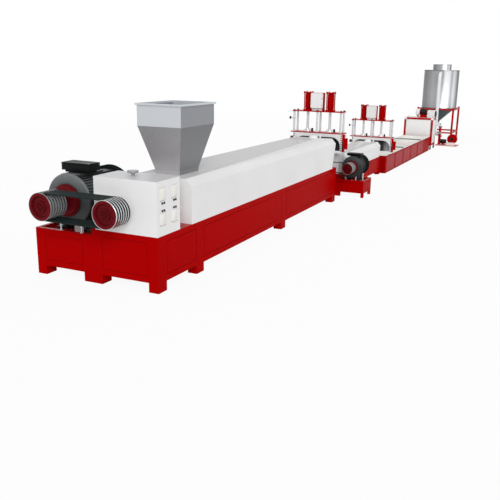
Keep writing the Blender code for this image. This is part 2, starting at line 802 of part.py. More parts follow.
def make_changer(tag, start, barrel_height, casing_end, materials):
    """A hydraulic screen changer: body with an arch, melt block, plates on pillars and two cylinders."""
    end = start + CHANGER_DEPTH
    middle_x = (start + end) / 2
    bottom = barrel_height - CHANGER_DROP
    body_top = bottom + CHANGER_BODY_HEIGHT
    arch_width = CHANGER_BODY_WIDTH - 2 * ARCH_SIDE
    arch_height = CHANGER_BODY_HEIGHT - ARCH_CROWN
    body_y = AXIS_Y + CHANGER_BODY_OFFSET
    left = body_y - CHANGER_BODY_WIDTH / 2
    right = body_y + CHANGER_BODY_WIDTH / 2
    arch = arch_outline(body_y, arch_width, bottom, arch_height, ARCH_CORNER)
    outline = [(left, bottom), (left, body_top), (right, body_top), (right, bottom)] + arch[1:] + arch[:1]
    link_mesh(f"changer_{tag}_body", extrude_outline(outline, start, end), materials["white"])

    inner = arch_outline(body_y, arch_width - 2 * SEAT_GAP, bottom, arch_height - SEAT_GAP, ARCH_CORNER)
    block_start = end - MELT_BLOCK_DEPTH
    block = extrude_outline(inner, block_start, end)
    block = link_mesh(f"changer_{tag}_melt_block", block, materials["dark_steel"])
    barrel_start = (casing_end - BARREL_SOCKET + SEAT_GAP, AXIS_Y, barrel_height)
    barrel_end = (block_start + FUSE_LAP, AXIS_Y, barrel_height)
    fuse(block, [rod_shape(barrel_start, barrel_end, BARREL_RADIUS, ROUND_STEPS)])

    plate_bottom = body_top + SEAT_GAP
    plate_top = plate_bottom + CHANGER_PLATE
    upper_bottom = plate_top + PLATE_SPACING
    upper_top = upper_bottom + CHANGER_PLATE
    press_y = AXIS_Y + PRESS_OFFSET
    plate = standing_box(middle_x, press_y, plate_bottom, CHANGER_DEPTH, LOWER_PLATE_WIDTH, CHANGER_PLATE)
    lower = link_mesh(f"changer_{tag}_lower_plate", plate, materials["red"])
    pillars = bmesh.new()
    pillar_reach = UPPER_PLATE_WIDTH / 2 - PILLAR_END_INSET
    for x in (start + PILLAR_SIDE_INSET, end - PILLAR_SIDE_INSET):
        for y in (press_y - pillar_reach, press_y, press_y + pillar_reach):
            foot = (x, y, plate_top - FUSE_LAP)
            add_rod(pillars, foot, (x, y, upper_bottom - SEAT_GAP), PILLAR_RADIUS, PILLAR_STEPS)
    fuse(lower, [pillars])

    plate = standing_box(middle_x, press_y, upper_bottom, CHANGER_DEPTH, UPPER_PLATE_WIDTH, CHANGER_PLATE)
    upper = link_mesh(f"changer_{tag}_upper_plate", plate, materials["red"])
    holes = bmesh.new()
    for side, offset in (("left", CYLINDER_SPACING / 2), ("right", -CYLINDER_SPACING / 2)):
        y = press_y + offset
        hole_bottom = (middle_x, y, upper_bottom - FUSE_LAP)
        add_rod(holes, hole_bottom, (middle_x, y, upper_top + FUSE_LAP), ROD_HOLE_RADIUS)
        make_cylinder(f"changer_{tag}_cylinder_{side}", middle_x, y, upper_top + SEAT_GAP, materials["red"])
        foot = (middle_x, y, plate_top + SEAT_GAP)
        rod_length = upper_bottom - ROD_END_GAP - plate_top - SEAT_GAP
        make_piston_rod(f"changer_{tag}_rod_{side}", foot, rod_length, materials["steel"])
    cut(upper, [holes])

    make_control_box(f"changer_{tag}_control_box", start, upper_top + SEAT_GAP, materials["white"])
    make_side_bracket(f"changer_{tag}_side_bracket", start, bottom, materials["red"])


def make_cylinder(name, x, y, bottom, material):
    """A tie rod hydraulic cylinder between two square end plates, bored from below."""
    top = bottom + CYLINDER_HEIGHT
    head_bottom = top - CYLINDER_END_THICKNESS
    foot_top = bottom + CYLINDER_END_THICKNESS
    foot = standing_box(x, y, bottom, CYLINDER_END_SIZE, CYLINDER_END_SIZE, CYLINDER_END_THICKNESS)
    head = standing_box(x, y, head_bottom, CYLINDER_END_SIZE, CYLINDER_END_SIZE, CYLINDER_END_THICKNESS)
    item = link_mesh(name, foot, material)
    low = foot_top - FUSE_LAP
    high = head_bottom + FUSE_LAP
    barrel = rod_shape((x, y, low), (x, y, high), CYLINDER_RADIUS)
    ties = bmesh.new()
    reach = CYLINDER_END_SIZE / 2 - TIE_ROD_INSET
    for tie_x in (x - reach, x + reach):
        for tie_y in (y - reach, y + reach):
            add_rod(ties, (tie_x, tie_y, low), (tie_x, tie_y, high), TIE_ROD_RADIUS, TIE_ROD_STEPS)
    fuse(item, [head, barrel, ties])
    cut(item, [rod_shape((x, y, bottom - FUSE_LAP), (x, y, top - CYLINDER_CAP), CYLINDER_BORE)])


def make_piston_rod(name, foot, length, material):
    """A piston rod with the bell shaped foot that it presses down."""
    profile = [(0, 0), (0, FOOT_RADIUS), (FOOT_RIM, FOOT_RADIUS), (FOOT_WAIST, FOOT_WAIST_RADIUS),
               (FOOT_HEIGHT, FOOT_NECK_RADIUS), (FOOT_HEIGHT, ROD_RADIUS), (length, ROD_RADIUS), (length, 0)]
    shape = turned(profile, (0, 0, 0), ALONG_Z, SMALL_ROUND_STEPS)
    item = link_mesh(name, shape, material, smooth=True)
    item.location = foot


def make_control_box(name, start, bottom, material):
    """A small terminal cabinet on a foot between the cylinders."""
    middle_x = start + CONTROL_BOX_OFFSET + CONTROL_BOX_DEPTH / 2
    middle_y = AXIS_Y + PRESS_OFFSET + CONTROL_BOX_OFFSET
    box = standing_box(middle_x, middle_y, bottom + CONTROL_BOX_FOOT, CONTROL_BOX_DEPTH, CONTROL_BOX_WIDTH,
                       CONTROL_BOX_HEIGHT)
    underside = face_towards(box, -ALONG_Z)
    inset_face(box, underside, CONTROL_BOX_FOOT_INSET)
    push_face(box, underside, CONTROL_BOX_FOOT)
    link_mesh(name, box, material)


def make_side_bracket(name, start, bottom, material):
    """A red post on the operator's side of a changer with the grip that hangs from it."""
    side = AXIS_Y + CHANGER_BODY_OFFSET - CHANGER_BODY_WIDTH / 2 - SEAT_GAP
    top = bottom + CHANGER_BODY_HEIGHT
    post = box_shape((start, side - SIDE_POST_WIDTH, bottom), (start + SIDE_POST_LENGTH, side, top))
    item = link_mesh(name, post, material)
    grip_start = start + (SIDE_POST_LENGTH - GRIP_THICKNESS) / 2
    grip_top = top - GRIP_BELOW_TOP
    grip = box_shape((grip_start, side - SIDE_POST_WIDTH - GRIP_REACH, grip_top - GRIP_HEIGHT),
                     (grip_start + GRIP_THICKNESS, side - SIDE_POST_WIDTH + FUSE_LAP, grip_top))
    fuse(item, [grip])


def make_trough(materials):
    """The water trough: a panelled base that carries an open tank with two strand guide bars."""
    start = DRIVE_FACE + TROUGH_START
    end = start + TROUGH_LENGTH
    low_y = AXIS_Y - TROUGH_WIDTH / 2
    high_y = AXIS_Y + TROUGH_WIDTH / 2
    rim_bottom = TROUGH_HEIGHT - TANK_SHEET
    base_top = rim_bottom - SEAT_GAP
    bay = (TROUGH_LENGTH - TROUGH_POST) / TROUGH_BAYS
    posts = [number * bay for number in range(TROUGH_BAYS + 1)]
    base = panelled_base((start, low_y, 0), (end, high_y, base_top), 0, posts, TROUGH_POST, TROUGH_POST,
                         TROUGH_BORDER)
    sink_tray(base, TANK_DEPTH, TANK_BORDER, base_top)
    link_mesh("trough_base", base, materials["red"])

    tank = box_shape((start, low_y, rim_bottom), (end, high_y, TROUGH_HEIGHT))
    top = face_towards(tank, ALONG_Z)
    underside = face_towards(tank, -ALONG_Z)
    inset_face(tank, underside, TANK_BORDER + SEAT_GAP)
    push_face(tank, underside, TANK_DEPTH)
    inset_face(tank, top, TANK_BORDER + SEAT_GAP + TANK_SHEET)
    push_face(tank, top, -TANK_DEPTH)
    item = link_mesh("trough_tank", tank, materials["cream"])
    bars = bmesh.new()
    height = TROUGH_HEIGHT + GUIDE_BAR_RADIUS - TANK_SHEET / 2
    for place in GUIDE_BAR_PLACES:
        x = start + place
        near = (x, low_y + GUIDE_BAR_INSET, height)
        add_rod(bars, near, (x, high_y - GUIDE_BAR_INSET, height), GUIDE_BAR_RADIUS)
    fuse(item, [bars])


def frame_of_posts(name, low, high, post, rail_levels, material):
    """Four posts joined by rails at each level, the rails set in a little from the posts' faces."""
    posts = bmesh.new()
    for x in (low[0], high[0] - post):
        for y in (low[1], high[1] - post):
            add_box(posts, (x, y, low[2]), (x + post, y + post, high[2]))
    item = link_mesh(name, posts, material)
    middle = post / 2
    rail = post - 2 * RAIL_SET_IN
    along_x = bmesh.new()
    along_y = bmesh.new()
    for bottom, top in rail_levels:
        for y in (low[1] + RAIL_SET_IN, high[1] - post + RAIL_SET_IN):
            add_box(along_x, (low[0] + middle, y, bottom), (high[0] - middle, y + rail, top))
        for x in (low[0] + RAIL_SET_IN, high[0] - post + RAIL_SET_IN):
            add_box(along_y, (x, low[1] + middle, bottom), (x + rail, high[1] - middle, top))
    fuse(item, [along_x, along_y])
    return item


def add_casters(item, low, high, inset, top):
    """Joins a caster to the foot of each post of a frame."""
    wheels = bmesh.new()
    stems = bmesh.new()
    half = CASTER_WIDTH / 2
    for x in (low[0] + inset, high[0] - inset):
        for y in (low[1] + inset, high[1] - inset):
            hub = Vector((x, y, CASTER_RADIUS))
            add_rod(wheels, hub - ALONG_Y * half, hub + ALONG_Y * half, CASTER_RADIUS, CASTER_STEPS)
            add_rod(stems, hub, (x, y, top + FUSE_LAP), CASTER_STEM_RADIUS, CASTER_STEPS)
    fuse(item, [stems, wheels])


def make_cabinet(materials):
    """The strand pelletizer: an edge frame on casters round a closed cabinet with its drive on top."""
    start = DRIVE_FACE + CABINET_START
    low = Vector((start, AXIS_Y - CABINET_WIDTH / 2, CABINET_BOTTOM))
    high = Vector((start + CABINET_DEPTH, AXIS_Y + CABINET_WIDTH / 2, CABINET_TOP))
    post = CABINET_POST
    rail_top = CABINET_TOP - SEAT_GAP
    rails = [(CABINET_BOTTOM, CABINET_BOTTOM + post), (rail_top - post, rail_top)]
    frame = frame_of_posts("pelletizer_frame", low, high, post, rails, materials["red"])
    add_casters(frame, low, high, post / 2, CABINET_BOTTOM)

    inside = Vector((1, 1, 1)) * (post + SEAT_GAP)
    body = box_shape(low + inside, high - inside - ALONG_Z * SEAT_GAP)
    for face in [face for face in body.faces if abs(face.normal.z) < 0.5]:
        push_face(body, face, CABINET_PANEL_PROUD)
    body.normal_update()
    lid = max(body.faces, key=lambda face: face.normal.z * face.calc_area())
    push_face(body, lid, post + 2 * SEAT_GAP)
    link_mesh("pelletizer_cabinet", body, materials["white"])
    make_cabinet_drive((low.x + high.x) / 2, CABINET_TOP + SEAT_GAP, materials)


def make_cabinet_drive(middle_x, deck, materials):
    """The cutter drive on the cabinet's lid: motor on a bracket, belt guard and feed roller housing."""
    motor_y = AXIS_Y - DRIVE_MOTOR_OFFSET
    axis_height = deck + DRIVE_AXIS_HEIGHT
    bracket = standing_box(middle_x, motor_y, deck, BRACKET_LENGTH, BRACKET_WIDTH, BRACKET_HEIGHT)
    motor = link_mesh("pelletizer_motor", bracket, materials["black"])
    centre = Vector((middle_x, motor_y, axis_height))
    half = ALONG_Y * DRIVE_MOTOR_LENGTH / 2
    saddle_bottom = deck + BRACKET_HEIGHT - FUSE_LAP
    saddle_height = axis_height - saddle_bottom
    saddle = standing_box(middle_x, motor_y, saddle_bottom, SADDLE_LENGTH, SADDLE_WIDTH, saddle_height)
    fuse(motor, [saddle, rod_shape(centre - half, centre + half, DRIVE_MOTOR_RADIUS)])

    inner_edge = GUARD_RADIUS - GUARD_EDGE
    profile = [(0, 0), (0, GUARD_RADIUS), (GUARD_WIDTH - GUARD_EDGE, GUARD_RADIUS), (GUARD_WIDTH, inner_edge),
               (GUARD_WIDTH, 0)]
    guard = turned(profile, centre + half + ALONG_Y * SEAT_GAP, ALONG_Y)
    link_mesh("pelletizer_belt_guard", guard, materials["white"], smooth=True)

    housing_y = motor_y - (BRACKET_WIDTH + ROLLER_HOUSING_WIDTH) / 2 - SEAT_GAP
    housing = standing_box(middle_x, housing_y, deck, ROLLER_HOUSING_LENGTH, ROLLER_HOUSING_WIDTH,
                           ROLLER_HOUSING_HEIGHT)
    link_mesh("feed_roller_housing", housing, materials["white"])


def make_silo(materials):
    """The pellet silo: a sheet cylinder with a capped roof and a cone, in a frame on casters."""
    x = DRIVE_FACE + SILO_X
    half = SILO_FRAME_WIDTH / 2
    post = SILO_FRAME_POST
    foot = 2 * CASTER_RADIUS
    low = (x - half, AXIS_Y - half, foot)
    high = (x + half, AXIS_Y + half, SILO_BOTTOM)
    rail_top = SILO_BOTTOM - SEAT_GAP
    rails = [(SILO_RAIL_HEIGHT, SILO_RAIL_HEIGHT + SILO_RAIL_DEPTH), (rail_top - SILO_RAIL_DEPTH, rail_top)]
    frame = frame_of_posts("silo_frame", low, high, post, rails, materials["red"])
    add_casters(frame, low, high, post / 2, foot)

    inner = SILO_RADIUS - SILO_SHEET
    wall_bottom = SILO_BOTTOM + SEAT_GAP
    ring = [(0, SILO_RADIUS), (SILO_HEIGHT, SILO_RADIUS), (SILO_HEIGHT, inner), (0, inner)]
    wall = turned(ring, (x, AXIS_Y, wall_bottom), ALONG_Z, SILO_STEPS, closed=True)
    wall = link_mesh("silo_wall", wall, materials["bright_steel"], smooth=True)
    corner, inward = pipe_inlet()
    hole_end = corner + inward * (PIPE_STANDOFF + 2 * PIPE_INLET_REACH)
    cut(wall, [rod_shape(corner, hole_end, around(PIPE_RADIUS, ROUND_STEPS), ROUND_STEPS)])

    cap_top = SILO_SHEET + SILO_CAP_HEIGHT
    roof = [(0, 0), (0, SILO_RADIUS), (SILO_SHEET, SILO_RADIUS), (SILO_SHEET, SILO_CAP_RADIUS),
            (cap_top, SILO_CAP_RADIUS), (cap_top, 0)]
    roof = turned(roof, (x, AXIS_Y, wall_bottom + SILO_HEIGHT + SEAT_GAP), ALONG_Z, SILO_STEPS)
    link_mesh("silo_roof", roof, materials["bright_steel"], smooth=True)

    rim = inner - SEAT_GAP
    tip = OUTLET_RADIUS - SILO_SHEET
    outlet_end = CONE_HEIGHT + OUTLET_LENGTH
    cone = [(0, rim), (-CONE_HEIGHT, OUTLET_RADIUS), (-outlet_end, OUTLET_RADIUS), (-outlet_end, tip),
            (-CONE_HEIGHT, tip), (0, rim - 2 * SILO_SHEET)]
    cone_top = SILO_BOTTOM + CONE_LAP
    cone = turned(cone, (x, AXIS_Y, cone_top), ALONG_Z, SILO_STEPS, closed=True)
    link_mesh("silo_cone", cone, materials["dark_steel"], smooth=True)

    belly_low = VALVE_FLANGE + VALVE_TAPER
    belly_high = VALVE_HEIGHT - belly_low
    flange_low = VALVE_HEIGHT - VALVE_FLANGE
    valve = [(0, 0), (0, OUTLET_RADIUS), (VALVE_FLANGE, OUTLET_RADIUS), (belly_low, VALVE_RADIUS),
             (belly_high, VALVE_RADIUS), (flange_low, OUTLET_RADIUS), (VALVE_HEIGHT, OUTLET_RADIUS),
             (VALVE_HEIGHT, 0)]
    valve_bottom = cone_top - outlet_end - SEAT_GAP - VALVE_HEIGHT
    valve = turned(valve, (x, AXIS_Y, valve_bottom), ALONG_Z, SMALL_ROUND_STEPS)
    link_mesh("silo_outlet_valve", valve, materials["white"], smooth=True)


def pipe_inlet():
    """Where the pipe's upright and its inlet would cross, and the level direction to the silo's axis."""
    offset_x = math.sqrt((SILO_RADIUS + PIPE_STANDOFF) ** 2 - PIPE_Y ** 2)
    height = SILO_BOTTOM + SILO_HEIGHT - PIPE_TOP_DROP
    corner = Vector((DRIVE_FACE + SILO_X - offset_x, AXIS_Y + PIPE_Y, height))
    return corner, Vector((offset_x, -PIPE_Y, 0.0)).normalized()


def bend_points(corner, before, after, radius):
    """Points of a round bend between two straight runs that would meet at a corner."""
    centre = corner + (after - before) * radius
    points = []
    for step in range(PIPE_BEND_STEPS + 1):
        angle = math.pi / 2 * step / PIPE_BEND_STEPS
        points.append(centre - after * radius * math.cos(angle) + before * radius * math.sin(angle))
    return points


def make_pipe(materials):
    """The conveying pipe from the injector up to the silo, with a bend at each end."""
    corner, inward = pipe_inlet()
    start = Vector((DRIVE_FACE + BLOWER_X + INJECTOR_RADIUS + SEAT_GAP, AXIS_Y + INJECTOR_Y, PIPE_LOW))
    first_run = ALONG_X * PIPE_BEND
    low_corner = Vector((corner.x, corner.y, PIPE_LOW))
    along = (low_corner - start - first_run).normalized()
    points = [start, start + first_run]
    points += bend_points(low_corner, along, ALONG_Z, PIPE_BEND)
    points += bend_points(corner, ALONG_Z, inward, PIPE_TOP_BEND)
    points.append(corner + inward * (PIPE_STANDOFF + PIPE_INLET_REACH))
    curve = bpy.data.curves.new("conveying_pipe", "CURVE")
    curve.dimensions = "3D"
    curve.bevel_depth = PIPE_RADIUS
    curve.bevel_resolution = 2
    curve.use_fill_caps = True
    spline = curve.splines.new("POLY")
    spline.points.add(len(points) - 1)
    for point, place in zip(spline.points, points):
        point.co = (*place, 1.0)
    curve.materials.append(materials["bright_steel"])
    pipe = bpy.data.objects.new("conveying_pipe", curve)
    bpy.context.collection.objects.link(pipe)


def make_blower(materials):
    """The conveying blower: a base plate with a pedestal, and the volute with its inlet."""
    x = DRIVE_FACE + BLOWER_X
    y = AXIS_Y + BLOWER_Y
    injector_y = AXIS_Y + INJECTOR_Y
    plate = box_shape((x - PLATE_FRONT, y - BLOWER_RADIUS - PLATE_MARGIN, 0.0),
                      (x + PLATE_BACK, injector_y + INJECTOR_RADIUS + PLATE_MARGIN, BLOWER_PLATE))
    pedestal = box_shape((x - PEDESTAL_FRONT, y - PEDESTAL_LOW_Y, BLOWER_PLATE - FUSE_LAP),
                         (x + PEDESTAL_BACK, y + PEDESTAL_HIGH_Y, PEDESTAL_HEIGHT))
    base = link_mesh("blower_base", plate, materials["cream"])
    fuse(base, [pedestal])

    front = x + PEDESTAL_BACK + SEAT_GAP
    edge_radius = BLOWER_RADIUS - BLOWER_EDGE
    far_edge = BLOWER_WIDTH - BLOWER_EDGE
    profile = [(0, 0), (0, edge_radius), (BLOWER_EDGE, BLOWER_RADIUS), (far_edge, BLOWER_RADIUS),
               (BLOWER_WIDTH, edge_radius), (BLOWER_WIDTH, 0)]
    volute = turned(profile, (front, y, BLOWER_AXIS_HEIGHT), ALONG_X)
    item = link_mesh("blower_volute", volute, materials["red"], smooth=True)
    foot_bottom = BLOWER_PLATE + SEAT_GAP
    foot = standing_box(front + BLOWER_WIDTH / 2, y, foot_bottom, BLOWER_FOOT_LENGTH, BLOWER_FOOT_WIDTH,
                        BLOWER_AXIS_HEIGHT - foot_bottom)
    fuse(item, [foot])
    inlet = Vector((front, y + BLOWER_INLET_Y, BLOWER_AXIS_HEIGHT))
    inlet_end = inlet + ALONG_X * BLOWER_INLET_DEPTH
    cut(item, [rod_shape(inlet - ALONG_X * FUSE_LAP, inlet_end, BLOWER_INLET_RADIUS)])
    make_injector(x, injector_y, foot_bottom, materials["red"])


def make_injector(x, y, bottom, material):
    """The upright pellet injector: body, collar, neck and cap, with a small motor at its foot."""
    collar_top = INJECTOR_BODY + INJECTOR_COLLAR
    neck_top = collar_top + INJECTOR_NECK
    cap_bottom = neck_top + INJECTOR_TAPER
    cap_top = cap_bottom + INJECTOR_CAP
    body = INJECTOR_RADIUS
    neck = INJECTOR_NECK_RADIUS
    flange = INJECTOR_FLANGE_RADIUS
    stack = [(0, 0), (0, body), (INJECTOR_BODY, body), (INJECTOR_BODY, flange), (collar_top, flange),
             (collar_top, neck), (neck_top, neck), (cap_bottom, flange), (cap_top, flange), (cap_top, 0)]
    shape = turned(stack, (x, y, bottom), ALONG_Z, SMALL_ROUND_STEPS)
    injector = link_mesh("pellet_injector", shape, material, smooth=True)
    motor_start = Vector((x, y - body / 2, bottom + INJECTOR_MOTOR_HEIGHT))
    motor_end = motor_start - ALONG_Y * INJECTOR_MOTOR_LENGTH
    foot_y = motor_start.y - INJECTOR_FOOT_START - INJECTOR_FOOT_WIDTH / 2
    foot = standing_box(x, foot_y, bottom, INJECTOR_FOOT_LENGTH, INJECTOR_FOOT_WIDTH, INJECTOR_MOTOR_HEIGHT)
    fuse(injector, [foot, rod_shape(motor_start, motor_end, INJECTOR_MOTOR_RADIUS)])


def make_stage_one(materials):
    """The first extruder stage: base, gear housing, long casing, hopper and the belt drive."""
    high_y = SIDE_FACE + BASE_WIDTH
    legs = [0, SECOND_LEG, THIRD_LEG, BASE_LENGTH - LEG_LENGTH]
    base = panelled_base((DRIVE_FACE, SIDE_FACE, 0), (DRIVE_FACE + BASE_LENGTH, high_y, BASE_HEIGHT),
                         BASE_CLEARANCE, legs, LEG_LENGTH, LEG_WIDTH, PANEL_BORDER)
    link_mesh("main_base", base, materials["red"])

    gear_low = Vector((DRIVE_FACE, SIDE_FACE, DECK_1))
    gear_high = gear_low + Vector((GEARBOX_1_LENGTH, GEARBOX_1_WIDTH, GEARBOX_1_HEIGHT))
    housing = make_gearbox("gearbox_1", gear_low, gear_high, GEARBOX_1_ROWS, materials["white"])
    add_filler_cup(housing, gear_high.z)
    make_casing("casing_1", DRIVE_FACE + CASING_1_END, DRIVE_FACE + CASING_1_START, BASE_WIDTH / 2,
                (DECK_1, CASING_1_TOP), CASING_1_CHAMFER, CASING_1_SLANT, BARREL_1_HEIGHT, materials["white"])
    make_hopper(materials["grey"])

    motor_low = (DRIVE_FACE, high_y + SEAT_GAP, 0)
    motor_high = (DRIVE_FACE + MOTOR_BASE_1_LENGTH, motor_low[1] + MOTOR_BASE_1_WIDTH, MOTOR_BASE_1_HEIGHT)
    legs = [0, MOTOR_BASE_1_LENGTH - LEG_LENGTH]
    motor_base = panelled_base(motor_low, motor_high, BASE_CLEARANCE, legs, LEG_LENGTH, LEG_WIDTH,
                               PANEL_BORDER)
    sink_tray(motor_base, MOTOR_TRAY_DEPTH, MOTOR_TRAY_BORDER, MOTOR_BASE_1_HEIGHT)
    link_mesh("motor_base_1", motor_base, materials["red"])

    motor_y = SIDE_FACE + MOTOR_1_Y
    foot_level = MOTOR_BASE_1_HEIGHT - MOTOR_TRAY_DEPTH + SEAT_GAP
    motor_front = DRIVE_FACE + MOTOR_1_FRONT
    make_motor("1", motor_front, motor_y, SHAFT_1_HEIGHT, foot_level, MOTOR_1, materials)
    drive = BeltDrive(front=DRIVE_FACE - PULLEY_1_REACH, length=PULLEY_1_LENGTH, radius=PULLEY_1_RADIUS,
                      grooves=PULLEY_1_GROOVES, used=tuple(range(PULLEY_1_GROOVES)), height=SHAFT_1_HEIGHT,
                      motor_y=motor_y, shaft_radius=SHAFT_1_RADIUS, steps=PULLEY_1_STEPS)
    make_belt_drive("1", drive, motor_front + SHAFT_DEPTH, DRIVE_FACE - SEAT_GAP, materials)


def make_stage_two(materials):
    """The second extruder stage on its own lower base, with its motor on the operator's side."""
    low_y = AXIS_Y - BASE_2_WIDTH / 2
    start = DRIVE_FACE + BASE_2_START
    bay = (BASE_2_LENGTH - BASE_2_LEG) / BASE_2_BAYS
    legs = [number * bay for number in range(BASE_2_BAYS + 1)]
    base = panelled_base((start, low_y, 0), (start + BASE_2_LENGTH, low_y + BASE_2_WIDTH, BASE_2_HEIGHT),
                         BASE_2_CLEARANCE, legs, BASE_2_LEG, BASE_2_LEG, BASE_2_BORDER)
    link_mesh("second_base", base, materials["red"])

    gear_low = Vector((start + GEARBOX_2_SETBACK, AXIS_Y - GEARBOX_2_WIDTH / 2, DECK_2))
    gear_high = gear_low + Vector((GEARBOX_2_LENGTH, GEARBOX_2_WIDTH, GEARBOX_2_HEIGHT))
    make_gearbox("gearbox_2", gear_low, gear_high, GEARBOX_2_ROWS, materials["white"])
    make_casing("casing_2", DRIVE_FACE + CASING_2_END, DRIVE_FACE + CASING_2_START, BASE_2_WIDTH / 2,
                (DECK_2, CASING_2_TOP), CASING_2_CHAMFER, CASING_2_SLANT, BARREL_2_HEIGHT, materials["white"])

    motor_high_y = low_y - SEAT_GAP
    legs = [0, MOTOR_BASE_2_LENGTH - MOTOR_BASE_2_LEG]
    motor_base = panelled_base((start, motor_high_y - MOTOR_BASE_2_WIDTH, 0),
                               (start + MOTOR_BASE_2_LENGTH, motor_high_y, MOTOR_BASE_2_HEIGHT),
                               BASE_2_CLEARANCE, legs, MOTOR_BASE_2_LEG, MOTOR_BASE_2_LEG, BASE_2_BORDER)
    sink_tray(motor_base, MOTOR_TRAY_DEPTH, MOTOR_TRAY_2_BORDER, MOTOR_BASE_2_HEIGHT)
    link_mesh("motor_base_2", motor_base, materials["red"])

    motor_y = motor_high_y - MOTOR_2_Y
    foot_level = MOTOR_BASE_2_HEIGHT - MOTOR_TRAY_DEPTH + SEAT_GAP
    motor_front = start - MOTOR_2_OVERHANG
    make_motor("2", motor_front, motor_y, SHAFT_2_HEIGHT, foot_level, MOTOR_2, materials)
    drive = BeltDrive(front=start - PULLEY_2_REACH, length=PULLEY_2_LENGTH, radius=PULLEY_2_RADIUS,
                      grooves=PULLEY_2_GROOVES, used=(1,), height=SHAFT_2_HEIGHT, motor_y=motor_y,
                      shaft_radius=SHAFT_2_RADIUS, steps=SMALL_ROUND_STEPS)
    make_belt_drive("2", drive, motor_front + SHAFT_DEPTH, gear_low.x - SEAT_GAP, materials)


def main():
    clear_scene()
    materials = {
        "red": make_material("red_gloss_paint", (0.52, 0.0, 0.012), 0.22, 0.0),
        "white": make_material("white_paint", (0.80, 0.80, 0.80), 0.35, 0.0),
        "cream": make_material("cream_sheet", (0.74, 0.70, 0.63), 0.45, 0.0),
        "grey": make_material("grey_steel_sheet", (0.30, 0.31, 0.33), 0.40, 0.6),
        "motor_grey": make_material("motor_grey_paint", (0.10, 0.11, 0.12), 0.45, 0.0),
        "black": make_material("black_paint", (0.015, 0.015, 0.017), 0.45, 0.0),
        "steel": make_material("machined_steel", (0.62, 0.63, 0.65), 0.25, 1.0),
        "bright_steel": make_material("bright_stainless_sheet", (0.66, 0.67, 0.69), 0.20, 1.0),
        "dark_steel": make_material("dark_steel", (0.10, 0.13, 0.13), 0.45, 0.7),
        "rubber": make_material("belt_rubber", (0.010, 0.022, 0.022), 0.6, 0.0),
    }
    make_stage_one(materials)
    make_stage_two(materials)
    casing_1_end = DRIVE_FACE + CASING_1_END
    casing_2_end = DRIVE_FACE + CASING_2_END
    make_changer("1", DRIVE_FACE + CHANGER_1_START, BARREL_1_HEIGHT, casing_1_end, materials)
    make_changer("2", DRIVE_FACE + CHANGER_2_START, BARREL_2_HEIGHT, casing_2_end, materials)
    make_trough(materials)
    make_cabinet(materials)
    make_silo(materials)
    make_pipe(materials)
    make_blower(materials)


main()
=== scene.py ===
"""The looks of a plastic pelletizing line: extruders, screen changers, water trough, pelletizer and silo."""

from math import acos, cos, pi, radians, sin

import bpy
from mathutils import Matrix, Vector


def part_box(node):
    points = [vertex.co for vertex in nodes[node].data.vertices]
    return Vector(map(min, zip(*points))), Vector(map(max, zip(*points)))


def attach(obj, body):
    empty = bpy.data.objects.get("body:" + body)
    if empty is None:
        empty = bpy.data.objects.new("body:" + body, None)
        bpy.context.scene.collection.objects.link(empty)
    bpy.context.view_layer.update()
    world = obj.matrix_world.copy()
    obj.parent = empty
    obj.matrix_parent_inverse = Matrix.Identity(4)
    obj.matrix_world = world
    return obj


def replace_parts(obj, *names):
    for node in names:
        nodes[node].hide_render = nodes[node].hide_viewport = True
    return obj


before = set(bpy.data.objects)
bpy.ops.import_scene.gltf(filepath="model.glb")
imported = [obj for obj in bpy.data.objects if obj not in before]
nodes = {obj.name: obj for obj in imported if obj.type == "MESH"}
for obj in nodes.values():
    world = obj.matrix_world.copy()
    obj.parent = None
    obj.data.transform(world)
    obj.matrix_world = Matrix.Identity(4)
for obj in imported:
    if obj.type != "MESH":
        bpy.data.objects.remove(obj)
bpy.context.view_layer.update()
bpy.ops.object.select_all(action="DESELECT")
bpy.context.scene.view_settings.view_transform = "Standard"


# Camera. It stands before the drive end of the line, on the side of the smaller motor and a little above the
# hopper's rim, and looks down the whole length.
CAMERA_PLACE = (-7.0233, -4.6179, 2.8672)
CAMERA_TURN = radians(25.163 - 90)
CAMERA_TILT = radians(90 - 15.374)
CAMERA_ROLL = radians(0.880)
bpy.ops.object.camera_add()
camera = bpy.context.object
camera.matrix_world = (
    Matrix.Translation(CAMERA_PLACE)
    @ Matrix.Rotation(CAMERA_TURN, 4, "Z")
    @ Matrix.Rotation(CAMERA_TILT, 4, "X")
    @ Matrix.Rotation(CAMERA_ROLL, 4, "Z")
)
camera.data.sensor_width = 36
camera.data.lens = 48.296
camera.data.clip_end = 300
bpy.context.scene.camera = camera
camera.select_set(False)


